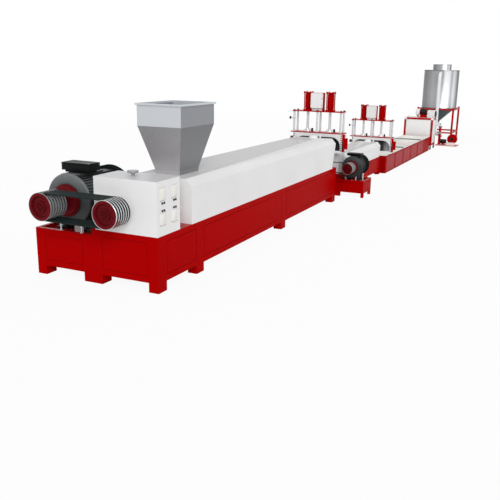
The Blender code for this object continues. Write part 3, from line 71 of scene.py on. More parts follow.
# Studio. A plain pale floor without an edge, a white surround and one broad lamp from the drive end, as for a
# product picture. What the camera and the gloss see is white, and what lights the machine is weaker.
class Socket:
    """An output of a node. Sums on it add Math nodes, and node() adds any other kind to the same tree."""

    def __init__(self, tree, output=None):
        self.tree = tree
        self.output = output

    def node(self, kind, settings=None, inputs=None, output=0):
        """Adds a node with these settings and these socket values or links, and gives one of its outputs."""
        made = self.tree.nodes.new("ShaderNode" + kind)
        for name, value in (settings or {}).items():
            if name == "stops":
                while len(made.color_ramp.elements) < len(value):
                    made.color_ramp.elements.new(0.5)
                for element, (place, tone) in zip(made.color_ramp.elements, value):
                    element.position = place
                    element.color = (tone, tone, tone, 1)
            else:
                setattr(made, name, value)
        for name, value in (inputs or {}).items():
            socket = made.inputs[name]
            if isinstance(value, Socket):
                self.tree.links.new(value.output, socket)
            else:
                socket.default_value = (*value, 1) if socket.type == "RGBA" else value
        return Socket(self.tree, made.outputs[output])

    def math(self, operation, *values):
        return self.node("Math", {"operation": operation}, dict(enumerate(values)))

    def __add__(self, other):
        return self.math("ADD", self, other)

    def __radd__(self, other):
        return self.math("ADD", other, self)

    def __sub__(self, other):
        return self.math("SUBTRACT", self, other)

    def __rsub__(self, other):
        return self.math("SUBTRACT", other, self)

    def __mul__(self, other):
        return self.math("MULTIPLY", self, other)

    def __rmul__(self, other):
        return self.math("MULTIPLY", other, self)

    def __gt__(self, other):
        return self.math("GREATER_THAN", self, other)

    def __lt__(self, other):
        return self.math("LESS_THAN", self, other)

    def most(self, other):
        return self.math("MAXIMUM", self, other)

    def dot(self, other):
        return self.node("VectorMath", {"operation": "DOT_PRODUCT"}, {0: self, 1: other}, 1)

    def part(self, axis):
        """How far this vector goes along X, Y or Z."""
        return self.node("SeparateXYZ", {}, {0: self}, axis)

    def ramp(self, start, end, low=0, high=1, run="LINEAR"):
        """Goes from low to high while this value goes from start to end."""
        limits = {"Value": self, "From Min": start, "From Max": end, "To Min": low, "To Max": high}
        return self.node("MapRange", {"interpolation_type": run}, limits)

    def between(self, low, high):
        """The colour that lies between two colours at this share."""
        return self.node("Mix", {"data_type": "RGBA"}, {0: self, 6: low, 7: high}, output=2)

    def into(self, shader, socket):
        """Feeds an input of a shader in the same tree."""
        self.tree.links.new(self.output, shader.inputs[socket])


def start_finish(name, uniform):
    """A material with these values all over, as the material, its shader, and the place on the object."""
    material = bpy.data.materials.new(name)
    material.use_nodes = True
    shader = material.node_tree.nodes["Principled BSDF"]
    for socket, value in uniform.items():
        shader.inputs[socket].default_value = value
    return material, shader, Socket(material.node_tree).node("TexCoord", output="Object")


SURROUND_LIGHT = 0.62
world = bpy.data.worlds.new("studio")
bpy.context.scene.world = world
world.use_nodes = True
surround = world.node_tree.nodes["Background"]
surround.inputs["Color"].default_value = (1, 1, 1, 1)
seen = 0
for ray in ("Is Camera Ray", "Is Glossy Ray", "Is Transmission Ray"):
    seen = Socket(world.node_tree).node("LightPath", output=ray).most(seen)
(SURROUND_LIGHT + (1 - SURROUND_LIGHT) * seen).into(surround, "Strength")

bpy.ops.mesh.primitive_plane_add(size=400, location=(10, 0, 0))
floor = bpy.context.object
floor.name = "studio_floor"
FLOOR_PAINT = {"Base Color": (0.86, 0.86, 0.86, 1), "Roughness": 0.9, "Specular IOR Level": 0.0}
floor_paint, floor_shader, floor_place = start_finish("studio_floor", FLOOR_PAINT)
glow = floor_place.node("Emission", {}, {"Color": (1, 1, 1), "Strength": 1.0})
away = floor_place.node("VectorMath", {"operation": "LENGTH"}, {0: floor_place}, 1)
NEAR, FAR = 13, 34
white_share = away.ramp(NEAR, FAR, 0.93, 1.0) * floor_place.node("LightPath", output="Is Camera Ray")
painted = Socket(floor_paint.node_tree, floor_shader.outputs[0])
floor_top = floor_place.node("MixShader", {}, {0: white_share, 1: painted, 2: glow})
floor_top.into(floor_paint.node_tree.nodes["Material Output"], "Surface")
floor.data.materials.append(floor_paint)
floor.select_set(False)

LAMP_TOWARDS = Vector((-0.70, -0.52, 0.45))
bpy.ops.object.light_add(type="SUN")
lamp = bpy.context.object
lamp.rotation_euler = LAMP_TOWARDS.to_track_quat("Z", "Y").to_euler()
lamp.data.energy = 1.6
lamp.data.angle = radians(35)
lamp.select_set(False)


# Bases. Welded box sections with pressed panels between their posts, primed and sprayed deep red under a
# clear coat. Their panels and legs are in the nodes, and the gloss, the grain and the worn edges are here.
# The edges are painted lighter, as wear and as a painted highlight.
FACES_UP = 0.95


def noise(place, scale, detail=2.0, stretch=None):
    """Cloudy grain of this many cells to the metre, drawn out along an axis if stretch says so."""
    if stretch:
        place = place.node("Mapping", {}, {"Vector": place, "Scale": stretch})
    return place.node("TexNoise", {}, {"Vector": place, "Scale": scale, "Detail": detail})


def shade(colour, factor):
    """The colour made lighter or darker by a factor."""
    return tuple(min(1, factor * tone) for tone in colour)


def surface_normal(place):
    """The direction that the surface faces."""
    return place.node("NewGeometry", output="Normal")


def soft_edges(place, radius):
    """The direction that the surface faces, with its edges rounded over."""
    return place.node("Bevel", {"samples": 4}, {"Radius": radius})


def relief(shader, place, height, strength, depth, edge):
    """Gives a surface soft edges and a fine relief, and gives back its direction without the relief."""
    soft = soft_edges(place, edge)
    bump = place.node("Bump", {}, {"Strength": strength, "Distance": depth, "Height": height, "Normal": soft})
    bump.into(shader, "Normal")
    return soft


def painted_hollow_shade(place, reach, tone, dark):
    """Painted shade: the tone on open faces, and a dark one painted in grooves and corners within a reach,
    where shade falls, if that isn't 0.
    """
    if not reach:
        return tone
    free = place.node("AmbientOcclusion", {"samples": 6}, {"Distance": reach}, "AO")
    return (free * free).between(dark, tone)


def sprayed_paint(name, colour, edge_wear_and_highlight, roughness, specular, top_gloss=0.0, top_painted_shade=1.0, edge=0.004,
                  hollow_shade=0.0):
    """Machine paint: slightly cloudy, with an orange peel grain and glossier tops. Its edges are painted
    lighter, as wear and as a painted highlight; its tops take painted shade by a factor, and its hollows
    painted shade.
    """
    material, shader, place = start_finish(name, {"Specular IOR Level": specular, "Coat Roughness": 0.06})
    top = surface_normal(place).part("Z") > FACES_UP
    (top * top_gloss).into(shader, "Coat Weight")
    soft = relief(shader, place, noise(place, 260, 1), 0.06, 0.001, edge)
    worn_and_lit_edges = 1 - soft.dot(surface_normal(place))
    tone = noise(place, 1.3, 3).between(shade(colour, 0.93), shade(colour, 1.06))
    # Painted shade: what faces up is painted darker by the top factor.
    tone = top.between(tone, shade(colour, top_painted_shade))
    # Edges painted lighter: partly wear, partly a painted highlight.
    tone = (worn_and_lit_edges * 2.5 * noise(place, 30, 3)).between(tone, edge_wear_and_highlight)
    # Painted shade in hollows, if a reach is given.
    painted_hollow_shade(place, hollow_shade, tone, shade(colour, 0.15)).into(shader, "Base Color")
    (roughness - 0.06 + 0.12 * noise(place, 7, 4)).into(shader, "Roughness")
    return material


def paint_nodes(finish, *names):
    """Gives nodes whose shape is right a finish in place of their plain material."""
    for name in names:
        nodes[name].material_slots[0].material = finish


RED = (0.395, 0.0005, 0.0008)
# The red's edges are painted lighter, as wear and as a painted highlight.
RED_EDGE_WEAR_AND_HIGHLIGHT = (0.44, 0.02, 0.02)
red_paint = sprayed_paint("deep_red_gloss", RED, RED_EDGE_WEAR_AND_HIGHLIGHT, 0.24, 0.008, top_gloss=0.45)
paint_nodes(red_paint, "main_base", "motor_base_1", "second_base", "motor_base_2")


# Adjusting studs of the motor bases. Zinc plated rods with hexagon nuts stand in the front edge of the tray
# and set the belts' pull.
UP = (0, 0, 1)


def settle(name, finish, sharp=30, body="line"):
    """Ends the piece at hand: it is set in its mesh's place, shaded, painted and fixed to its body."""
    piece = bpy.context.object
    bpy.ops.object.select_all(action="DESELECT")
    piece.select_set(True)
    bpy.ops.object.transform_apply()
    bpy.ops.object.shade_smooth_by_angle(angle=radians(sharp))
    piece.name = name
    piece.data.name = name
    piece.data.materials.clear()
    piece.data.materials.append(finish)
    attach(piece, body)
    piece.select_set(False)
    return piece


def turn(profile, centre, axis, steps=96):
    """Turns a profile of (along, radius) points about an axis through a centre, as a lathe does."""
    along = Vector(axis)
    out = Vector((1, 0, 0)) if abs(along.z) > 0.5 else Vector((0, 0, 1))
    first = Vector(centre) + along * profile[0][0] + out * profile[0][1]
    bpy.ops.mesh.primitive_plane_add(size=0.1, location=first)
    bpy.ops.object.mode_set(mode="EDIT")
    bpy.ops.mesh.select_mode(type="VERT")
    bpy.ops.mesh.merge(type="CENTER")
    for (start, inner), (end, outer) in zip(profile, profile[1:]):
        step = along * (end - start) + out * (outer - inner)
        bpy.ops.mesh.extrude_region_move(TRANSFORM_OT_translate={"value": step})
    bpy.ops.mesh.select_all(action="SELECT")
    bpy.ops.mesh.spin(steps=steps, angle=2 * pi, center=centre, axis=axis)
    bpy.ops.mesh.select_all(action="SELECT")
    bpy.ops.mesh.remove_doubles(threshold=0.00001)
    bpy.ops.mesh.normals_make_consistent(inside=False)
    bpy.ops.object.mode_set(mode="OBJECT")
    bpy.ops.object.transform_apply()
    return bpy.context.object


def join(pieces):
    """Joins finished shapes in one object."""
    bpy.ops.object.select_all(action="DESELECT")
    for piece in pieces:
        piece.select_set(True)
    bpy.context.view_layer.objects.active = pieces[0]
    bpy.ops.object.join()
    return bpy.context.object


def set_copies(pattern, places, turned=(0, 0, 0)):
    """Copies of a pattern, each with its own mesh, turned, set at places and joined. The pattern goes."""
    copies = []
    for place in places:
        copy = bpy.data.objects.new(pattern.name, pattern.data.copy())
        bpy.context.collection.objects.link(copy)
        copy.rotation_euler = turned
        copy.location = place
        copies.append(copy)
    bpy.data.objects.remove(pattern)
    return join(copies)


def start_selection(kind):
    """Leaves nothing of the piece at hand selected, so that edges or faces of it can be."""
    bpy.ops.object.mode_set(mode="EDIT")
    bpy.ops.mesh.select_mode(type=kind)
    bpy.ops.mesh.select_all(action="DESELECT")
    bpy.ops.object.mode_set(mode="OBJECT")
    return bpy.context.object


def inset_faces(towards, thickness, depth):
    """Insets the faces of the piece at hand that look one way, and sinks or raises what is inside."""
    piece = start_selection("FACE")
    for face in piece.data.polygons:
        face.select = face.normal.dot(Vector(towards)) > 0.95
    bpy.ops.object.mode_set(mode="EDIT")
    bpy.ops.mesh.inset(thickness=thickness, depth=depth)
    bpy.ops.object.mode_set(mode="OBJECT")
    return piece


def prism(sides, radius, bottom, height):
    """An upright prism over the origin, from a level up."""
    middle = (0, 0, bottom + height / 2)
    bpy.ops.mesh.primitive_cylinder_add(vertices=sides, radius=radius, depth=height, location=middle)
    bpy.ops.object.transform_apply()
    return bpy.context.object


def hex_nut(radius, height):
    """A hexagon nut or bolt head with a chamfered top on a round washer, standing on the origin."""
    washer = height * 0.18
    prism(6, radius, washer, height)
    head = inset_faces(UP, radius * 0.14, height * 0.10)
    return join([head, prism(14, radius * 1.25, 0, washer)])


def bare_steel(name, colour, roughness, grain=60, stretch=None, metallic=1.0, hollow_shade=0.0):
    """Uncoated steel: turned, drawn or brushed, with a fine grain in its gloss, and painted shade in its
    grooves within a reach.
    """
    material, shader, place = start_finish(name, {"Metallic": metallic})
    grained = noise(place, grain, 3, stretch)
    tone = grained.between(shade(colour, 0.80), shade(colour, 1.12))
    painted_hollow_shade(place, hollow_shade, tone, shade(colour, 0.03)).into(shader, "Base Color")
    (roughness - 0.08 + 0.16 * grained).into(shader, "Roughness")
    relief(shader, place, grained, 0.10, 0.0005, 0.001)
    return material


zinc = bare_steel("zinc_plated_steel", (0.74, 0.79, 0.82), 0.30, metallic=0.6)


def adjusting_studs(name, places, radius, height):
    """Threaded studs with a nut at the foot, another near the top and a rounded tip."""
    tip = radius * 0.35
    stud = turn([(-0.02, 0), (-0.02, radius), (height - tip, radius), (height, radius - tip), (height, 0)],
                (0, 0, 0), UP, 24)
    upper_nut = hex_nut(radius * 1.6, radius * 1.3)
    upper_nut.location.z = height - radius * 2.2
    set_copies(join([stud, upper_nut, hex_nut(radius * 1.7, radius * 1.4)]), places)
    settle(name, zinc)


MOTOR_BASE_1_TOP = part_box("motor_base_1")[1].z
adjusting_studs("motor_base_1_studs", [(-0.072, y, MOTOR_BASE_1_TOP) for y in (1.149, 1.496)], 0.010, 0.098)


# Drive motors. Cast iron frames with cooling ribs, a coned bell on the drive end behind a dark red flange,
# and a pressed black cowl over the fan. A box for the cables stands on the pad on top.
ALONG = (1, 0, 0)
SHAFT_LEVEL_1 = 1.062
MOTOR_1_Y = 1.465
RIBS_A_SIDE = 17
GRILLE_RINGS = 9


def cast_iron(name, colour, roughness, edge=0.003, specular=0.2, top_highlight=1.0, hollow_shade=0.0):
    """Painted casting: an uneven matt skin over sand grain, with a painted highlight that makes it paler by a
    factor as it faces up, and painted shade in its hollows within a reach.
    """
    material, shader, place = start_finish(name, {"Specular IOR Level": specular})
    up = surface_normal(place).part("Z")
    # Painted highlight: the skin is painted paler as it faces up.
    tone = noise(place, 14, 4) * 0.25 + (up * 2.5).most(0)
    tone = tone.between(shade(colour, 0.80), shade(colour, 1.15 * top_highlight))
    painted_hollow_shade(place, hollow_shade, tone, shade(colour, 0.3)).into(shader, "Base Color")
    (roughness - 0.05 + 0.1 * noise(place, 40, 2)).into(shader, "Roughness")
    relief(shader, place, noise(place, 190, 3), 0.22, 0.001, edge)
    return material


# Both motor skins carry a strong painted highlight on what faces up and painted shade in their hollows.
motor_grey = cast_iron("cast_motor_grey", (0.042, 0.045, 0.046), 0.42, top_highlight=3.4, hollow_shade=0.10)
motor_dark = cast_iron("cast_motor_dark", (0.034, 0.037, 0.038), 0.42, specular=0.05, top_highlight=1.6, hollow_shade=0.06)
fan_black = cast_iron("pressed_black", (0.008, 0.010, 0.010), 0.40, specular=0.08)
cowl_black = cast_iron("cowl_black", (0.011, 0.016, 0.016), 0.45, specular=0.0)
# Painted shade darkens its recesses, such as those of the pulleys' dished faces.
dark_red = sprayed_paint("dark_red_enamel", (0.125, 0.004, 0.007), (0.26, 0.03, 0.03), 0.34, 0.06, edge=0.005,
                         hollow_shade=0.035)


def block(low, high):
    """A square block between two corners, the start of a piece."""
    low = Vector(low)
    high = Vector(high)
    bpy.ops.mesh.primitive_cube_add(size=1, location=(low + high) / 2)
    bpy.context.object.scale = high - low
    bpy.ops.object.transform_apply()
    return bpy.context.object


def rounded(width, segments=2, angle=30):
    """Rounds the edges of the piece at hand with a bevel that is then applied."""
    piece = bpy.context.object
    bevel = piece.modifiers.new("rounding", "BEVEL")
    bevel.width = width
    bevel.segments = segments
    bevel.angle_limit = radians(angle)
    bpy.ops.object.modifier_apply(modifier=bevel.name)
    return piece


def drive_motor(tag, front, y, z, foot_level, radius, flange, flange_end, rim, bell, length, cowl, pad_half,
                foot_half, shaft, skin):
    """One motor along X from the front of its flange, with a rib every few degrees down both sides."""
    centre = (front, y, z)
    frame_start = front + bell
    frame_end = frame_start + length
    mount = flange_end - 0.02
    turn([(mount, shaft), (mount, radius * 0.60), (mount + 0.01, radius * 0.72), (rim - 0.012, radius * 0.98),
          (rim - 0.004, radius * 1.030), (rim, radius * 1.045), (rim + 0.028, radius * 1.045),
          (rim + 0.032, radius * 0.91), (bell + 0.036, radius * 0.91), (bell + 0.036, radius * 0.85)],
         centre, ALONG)
    rounded(0.003)
    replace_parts(settle(f"motor_{tag}_bell", skin), f"motor_{tag}")

    step = flange_end * 0.42
    turn([(0, shaft + 0.002), (0, flange * 0.80), (0.010, flange * 0.89), (step, flange * 0.91),
          (step, flange * 0.97), (step + 0.008, flange), (flange_end, flange), (flange_end, shaft + 0.002),
          (0, shaft + 0.002)], centre, ALONG)
    rounded(0.002)
    settle(f"motor_{tag}_flange", dark_red)

    core = radius * 0.93
    shell = [turn([(0, 0), (0, core), (length, core), (length, 0)], (frame_start, y, z), ALONG)]
    lowest = radians(-48)
    highest = acos(pad_half / radius)
    for number in range(RIBS_A_SIDE):
        angle = lowest + (highest - lowest) * number / (RIBS_A_SIDE - 1)
        for side in (1, -1):
            rib = block((frame_start + 0.012, -0.003, radius * 0.90), (frame_end - 0.008, 0.003, radius))
            rib.rotation_euler = (side * (angle - pi / 2), 0, 0)
            rib.location = (0, y, z)
            bpy.ops.object.transform_apply()
            shell.append(rib)
    foot_top = foot_level + 0.03
    for start in (frame_start + length * 0.10, frame_start + length * 0.66):
        for side in (1, -1):
            for inner, outer, top in ((0.55, 1, foot_top), (0.50, 0.66, z - radius * 0.55)):
                low_y, high_y = sorted((y + side * foot_half * inner, y + side * foot_half * outer))
                shell.append(block((start, low_y, foot_level), (start + length * 0.22, high_y, top)))
    shell.append(block((frame_start + 0.02, y - pad_half, z + radius * 0.80),
                       (frame_start + length * 0.72, y + pad_half, z + radius)))
    join(shell)
    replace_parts(settle(f"motor_{tag}_ribs", skin), f"motor_{tag}")

    wide = radius * 1.07
    grille = []
    for number in range(GRILLE_RINGS):
        ring = radius * (0.16 + 0.075 * number)
        grille += [(cowl - 0.010, ring), (cowl, ring + radius * 0.012), (cowl, ring + radius * 0.032),
                   (cowl - 0.010, ring + radius * 0.044)]
    turn([(0, radius * 0.94), (0, wide), (cowl * 0.66, wide), (cowl * 0.86, wide * 0.96),
          (cowl, radius * 0.85), *reversed(grille), (cowl, radius * 0.12), (cowl, 0)],
         (frame_end, y, z), ALONG)
    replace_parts(settle(f"motor_{tag}_cowl", cowl_black), f"motor_{tag}")

    bolts = [(frame_start + length * share, y + side * foot_half * 0.85, foot_top)
             for share in (0.21, 0.77) for side in (1, -1)]
    set_copies(hex_nut(radius * 0.045, radius * 0.035), bolts)
    settle(f"motor_{tag}_foot_bolts", zinc)


def cable_box(tag, neck):
    """The cable box: a black casting on a narrower neck, with a lid that is screwed down."""
    low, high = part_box(f"motor_{tag}_terminal_box")
    lid_bottom = high.z - (high.z - low.z) * 0.20
    block((low.x, low.y, low.z + neck), (high.x, high.y, lid_bottom))
    case = rounded(0.006, 3)
    block((low.x, low.y, lid_bottom + 0.002), high)
    inset_faces(UP, 0.012, -0.002)
    lid = rounded(0.003)
    inset = (high.x - low.x) * 0.14
    stem = block((low.x + inset, low.y + inset, low.z),
                 (high.x - inset, high.y - inset, low.z + neck + 0.004))
    join([case, lid, stem])
    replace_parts(settle(f"motor_{tag}_cable_box", fan_black), f"motor_{tag}_terminal_box")
    inset = 0.018
    screws = [(x, y, high.z - 0.003)
              for x in (low.x + inset, high.x - inset) for y in (low.y + inset, high.y - inset)]
    set_copies(hex_nut(0.007, 0.004), screws)
    settle(f"motor_{tag}_lid_screws", zinc)


drive_motor("1", front=-0.03, y=MOTOR_1_Y, z=SHAFT_LEVEL_1, foot_level=0.6153, radius=0.345, flange=0.225,
            flange_end=0.09, rim=0.11, bell=0.11, length=0.84, cowl=0.18, pad_half=0.132, foot_half=0.31,
            shaft=0.046, skin=motor_grey)
cable_box("1", 0.030)


# Belt drives. Cast pulleys with turned grooves and a dark red dished face carry endless V belts of dark
# rubber from the motor to the gearbox. The gearbox's pulley is bright turned steel, and the motor's is the
# same steel painted darker, as painted shade. The grooves and the faces' recesses are darkened with painted
# shade.
GEARBOX_Y = 0.445
turned_steel = bare_steel("turned_steel", (0.80, 0.81, 0.82), 0.26, 24, (4, 1, 1), 0.8, 0.03)
# The same turned steel, painted darker as painted shade.
shaded_steel = bare_steel("shaded_turned_steel", (0.36, 0.375, 0.38), 0.40, 24, (4, 1, 1), 0.5, 0.03)
belt_rubber, belt_shader, belt_place = start_finish("belt_rubber", {"Specular IOR Level": 0.12})
weave = noise(belt_place, 160, 2, (0.3, 1, 1))
weave.between((0.003, 0.009, 0.008), (0.010, 0.019, 0.018)).into(belt_shader, "Base Color")
(0.42 + 0.2 * weave).into(belt_shader, "Roughness")
belt_place.node("Bump", {}, {"Strength": 0.3, "Distance": 0.001, "Height": weave}).into(belt_shader, "Normal")


def belt_pulley(machine, centre, radius, length, grooves, depth, mouth, root, shaft, rim_steel):
    """A machine's pulley on its shaft: the turned rim with its grooves, and the dished face with its hub."""
    node = f"{machine}_pulley"
    body = f"{machine}_shaft"
    pitch = length / (grooves + 0.4)
    shaft_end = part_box(node)[1].x - centre[0]
    edge = radius * 0.965
    recess = radius * 0.78
    ledge = 0.018
    dish = 0.030
    profile = [(dish, shaft), (dish, recess), (ledge, recess), (ledge, edge * 0.99), (0.002, edge),
               (0, radius - 0.002), (0.002, radius)]
    for number in range(grooves):
        middle = length / 2 + (number + 0.5 - grooves / 2) * pitch
        profile += [(middle - mouth, radius), (middle - root, radius - depth),
                    (middle + root, radius - depth), (middle + mouth, radius)]
    profile += [(length - 0.002, radius), (length, radius - 0.002), (length, shaft), (shaft_end, shaft),
                (shaft_end, 0)]
    turn(profile, centre, ALONG, 120)
    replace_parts(settle(f"{node}_rim", rim_steel, 20, body), node)

    hub = radius * 0.38
    boss = radius * 0.16
    floor_depth = dish - 0.0015
    rim_gap = 0.0002
    turn([(0.014, 0), (0.014, boss * 0.62), (0.002, boss * 0.72), (0.002, boss), (0.016, boss * 1.12),
          (0.016, hub * 0.74), (0.0005, hub * 0.82), (0.0005, hub), (floor_depth, hub * 1.06),
          (floor_depth, radius * 0.73), (0.001, radius * 0.76), (0.001, edge - 0.001),
          (ledge - rim_gap, edge - 0.0015), (ledge - rim_gap, radius * 0.775),
          (dish - rim_gap, radius * 0.775), (dish - rim_gap, shaft * 0.98)], centre, ALONG, 120)
    rounded(0.0012)
    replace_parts(settle(f"{node}_face", dark_red, 40, body), node)


def smooth_copy(node, name, finish, edge=0.0, sharp=30):
    """A node's shape again with its triangles joined, its curves smooth and its edges rounded."""
    piece = bpy.data.objects.new(name, nodes[node].data.copy())
    bpy.context.collection.objects.link(piece)
    bpy.ops.object.select_all(action="DESELECT")
    piece.select_set(True)
    bpy.context.view_layer.objects.active = piece
    bpy.ops.object.mode_set(mode="EDIT")
    bpy.ops.mesh.select_all(action="SELECT")
    bpy.ops.mesh.remove_doubles(threshold=0.00001)
    bpy.ops.mesh.dissolve_limited(angle_limit=radians(0.5))
    bpy.ops.object.mode_set(mode="OBJECT")
    if edge:
        rounded(edge, 2, sharp)
    settle(name, finish, sharp)
    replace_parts(piece, node)


for machine, y, rim_steel in (("motor_1", MOTOR_1_Y, shaded_steel), ("gearbox_1", GEARBOX_Y, turned_steel)):
    belt_pulley(machine, (-0.49, y, SHAFT_LEVEL_1), radius=0.188, length=0.31, grooves=6, depth=0.026,
                mouth=0.0165, root=0.0100, shaft=0.045, rim_steel=rim_steel)
for number in range(1, 7):
    smooth_copy(f"drive_belt_1_{number}", f"vee_belt_1_{number}", belt_rubber, 0.002, 40)


# First gearbox. A welded steel housing in white paint with four cream covers let into its side, each with a
# pair of black catches, and a grey funnel on top for filling oil.
NEAR_SIDE = (0, -1, 0)
GEARBOX_1_TOP = 1.4603
COVER_COLUMNS = ((-0.035, 0.11), (0.24, 0.385))
COVER_ROWS = ((0.13, 0.30), (0.455, 0.625))
RECESS = 0.012
GAP = 0.004
cream_paint = sprayed_paint("cream_enamel", (0.86, 0.84, 0.80), (0.90, 0.89, 0.86), 0.40, 0.30)
catch_black = cast_iron("catch_black", (0.012, 0.012, 0.012), 0.40, 0.001)


def rounded_plate(low, high, corner, radius, thickness):
    """A thin plate facing -Y between two corners on one face, with the corner at this X and Z cut round."""
    block(low, (high[0], low[1] + thickness, high[2]))
    piece = start_selection("EDGE")
    for edge in piece.data.edges:
        a, b = (piece.data.vertices[v].co for v in edge.vertices)
        if abs(a.y - b.y) > thickness / 2:
            edge.select = abs(a.x - corner[0]) < 1e-4 and abs(a.z - corner[1]) < 1e-4
    bpy.ops.object.mode_set(mode="EDIT")
    bpy.ops.mesh.bevel(offset=radius, segments=8, affect="EDGES")
    bpy.ops.object.mode_set(mode="OBJECT")


gearbox_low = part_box("gearbox_1")[0]
covers = []
catches = []
for x0, x1 in COVER_COLUMNS:
    for row, (bottom, top) in enumerate(COVER_ROWS):
        z0 = gearbox_low.z + bottom
        z1 = gearbox_low.z + top
        low = (x0 + GAP, gearbox_low.y + RECESS * 0.15, z0 + GAP)
        high = (x1 - GAP, gearbox_low.y + RECESS, z1 - GAP)
        corner = (low[0], high[2] if row else low[2])
        rounded_plate(low, high, corner, (x1 - x0) * 0.30, RECESS * 0.80)
        covers.append(rounded(0.002))
        level = z0 - 0.028 if row else z1 + 0.028
        for share in (0.34, 0.66):
            catches.append(turn([(0, 0), (0, 0.010), (0.010, 0.015), (0.015, 0.012), (0.016, 0)],
                                (x0 + (x1 - x0) * share, gearbox_low.y, level), NEAR_SIDE, 16))
join(covers)
settle("gearbox_1_covers", cream_paint)
join(catches)
settle("gearbox_1_catches", catch_black)

gearbox_paint, gear_shader, gear_place = start_finish("white_enamel_with_grey_funnel",
                                                      {"Specular IOR Level": 0.35})
funnel = gear_place.part("Z") > GEARBOX_1_TOP + 0.001
shaded_gear_top = surface_normal(gear_place).part("Z") > FACES_UP
gear_tone = noise(gear_place, 1.3, 3).between((0.77, 0.77, 0.77), (0.83, 0.83, 0.83))
# Painted shade: the housing's top is painted grey.
gear_tone = shaded_gear_top.between(gear_tone, (0.62, 0.62, 0.635))
funnel.between(gear_tone, (0.36, 0.37, 0.38)).into(gear_shader, "Base Color")
(funnel * 0.7).into(gear_shader, "Metallic")
(0.32 + 0.10 * noise(gear_place, 7, 4)).into(gear_shader, "Roughness")
relief(gear_shader, gear_place, noise(gear_place, 260, 1), 0.06, 0.001, 0.004)
smooth_copy("gearbox_1", "first_gear_housing", gearbox_paint)


# Casings. Long sheet covers over the heated barrels, white enamel with a soft gloss and painted shade on top,
# each with a vent dome and a lifting knob near its far end.
casing_white = sprayed_paint("casing_enamel", (0.80, 0.80, 0.80), (0.85, 0.85, 0.85), 0.24, 0.0,
                             top_gloss=0.25, top_painted_shade=0.78)
LIFTING_KNOB = [(-0.004, 0), (-0.004, 0.026), (0.006, 0.026), (0.012, 0.015), (0.032, 0.015), (0.040, 0.024),
                (0.056, 0.024), (0.062, 0.018), (0.064, 0)]
for number, knob_x, knob_z in ((1, 6.880, 1.372), (2, 11.270, 0.890)):
    smooth_copy(f"casing_{number}", f"barrel_cover_{number}", casing_white)
    turn(LIFTING_KNOB, (knob_x, 0.275, knob_z), UP, 32)
    settle(f"barrel_cover_{number}_lifting_knob", casing_white, 40)


# Feed hopper. Folded and welded grey steel sheet, brushed down its height: an upright band with a rim flange,
# a taper and a short neck. The band is paler than the taper, and the taper grows paler towards its neck. The
# sides towards the drive end face the lamp and are painted palest, as painted light.
BAND_BOTTOM = 2.0453
RIM_BOTTOM = 2.3273
TAPER_BOTTOM = 1.55
hopper_steel, hopper_shader, hopper_place = start_finish("hopper_sheet", {"Metallic": 0.55})
level = hopper_place.part("Z")
# Painted light: the faces towards the lamp at the drive end are painted paler.
lit_drive_side = surface_normal(hopper_place).part("X") < -0.5
brushing = noise(hopper_place, 34, 4, (1, 1, 0.12))
# The taper's tone follows the brushing and grows paler towards its neck.
brushing_and_height = brushing * 0.4 + level.ramp(BAND_BOTTOM, TAPER_BOTTOM) * 0.6
taper_tone = lit_drive_side.between(brushing_and_height.between((0.20, 0.205, 0.215), (0.26, 0.265, 0.275)),
                                brushing_and_height.between((0.34, 0.34, 0.36), (0.56, 0.54, 0.56)))
band_tone = lit_drive_side.between((0.30, 0.31, 0.33), (0.62, 0.64, 0.67))
sheet_tone = (level > BAND_BOTTOM).between(taper_tone, band_tone)
(level > RIM_BOTTOM).between(sheet_tone, (0.62, 0.66, 0.70)).into(hopper_shader, "Base Color")
(0.36 + 0.16 * brushing).into(hopper_shader, "Roughness")
relief(hopper_shader, hopper_place, brushing, 0.10, 0.0006, 0.004)
paint_nodes(hopper_steel, "feed_hopper")


# Second stage. A lower base carries a shorter casing, its gearbox and a small motor with a single belt on
# three groove pulleys. Everything is made as in the first stage, with the gearbox plain white.
SHAFT_LEVEL_2 = 0.69
MOTOR_2_Y = -0.2453
for stud, x, y, height in (("short_stud", 7.72, -0.085, 0.11), ("stud", 7.70, -0.330, 0.155),
                           ("long_stud", 7.74, -0.480, 0.215)):
    adjusting_studs(f"motor_base_2_{stud}", [(x, y, 0.34)], 0.012, height)
drive_motor("2", front=7.56, y=MOTOR_2_Y, z=SHAFT_LEVEL_2, foot_level=0.3403, radius=0.23, flange=0.15,
            flange_end=0.06, rim=0.080, bell=0.15, length=0.33, cowl=0.23, pad_half=0.085, foot_half=0.21,
            shaft=0.026, skin=motor_dark)
cable_box("2", 0.012)
for machine, y in (("motor_2", MOTOR_2_Y), ("gearbox_2", GEARBOX_Y)):
    belt_pulley(machine, (7.27, y, SHAFT_LEVEL_2), radius=0.125, length=0.24, grooves=3, depth=0.027,
                mouth=0.0140, root=0.0080, shaft=0.025, rim_steel=shaded_steel)
smooth_copy("drive_belt_2", "vee_belt_2", belt_rubber, 0.002, 40)
white_paint = sprayed_paint("white_enamel", (0.80, 0.80, 0.80), (0.87, 0.87, 0.87), 0.36, 0.25)
paint_nodes(white_paint, "gearbox_2")


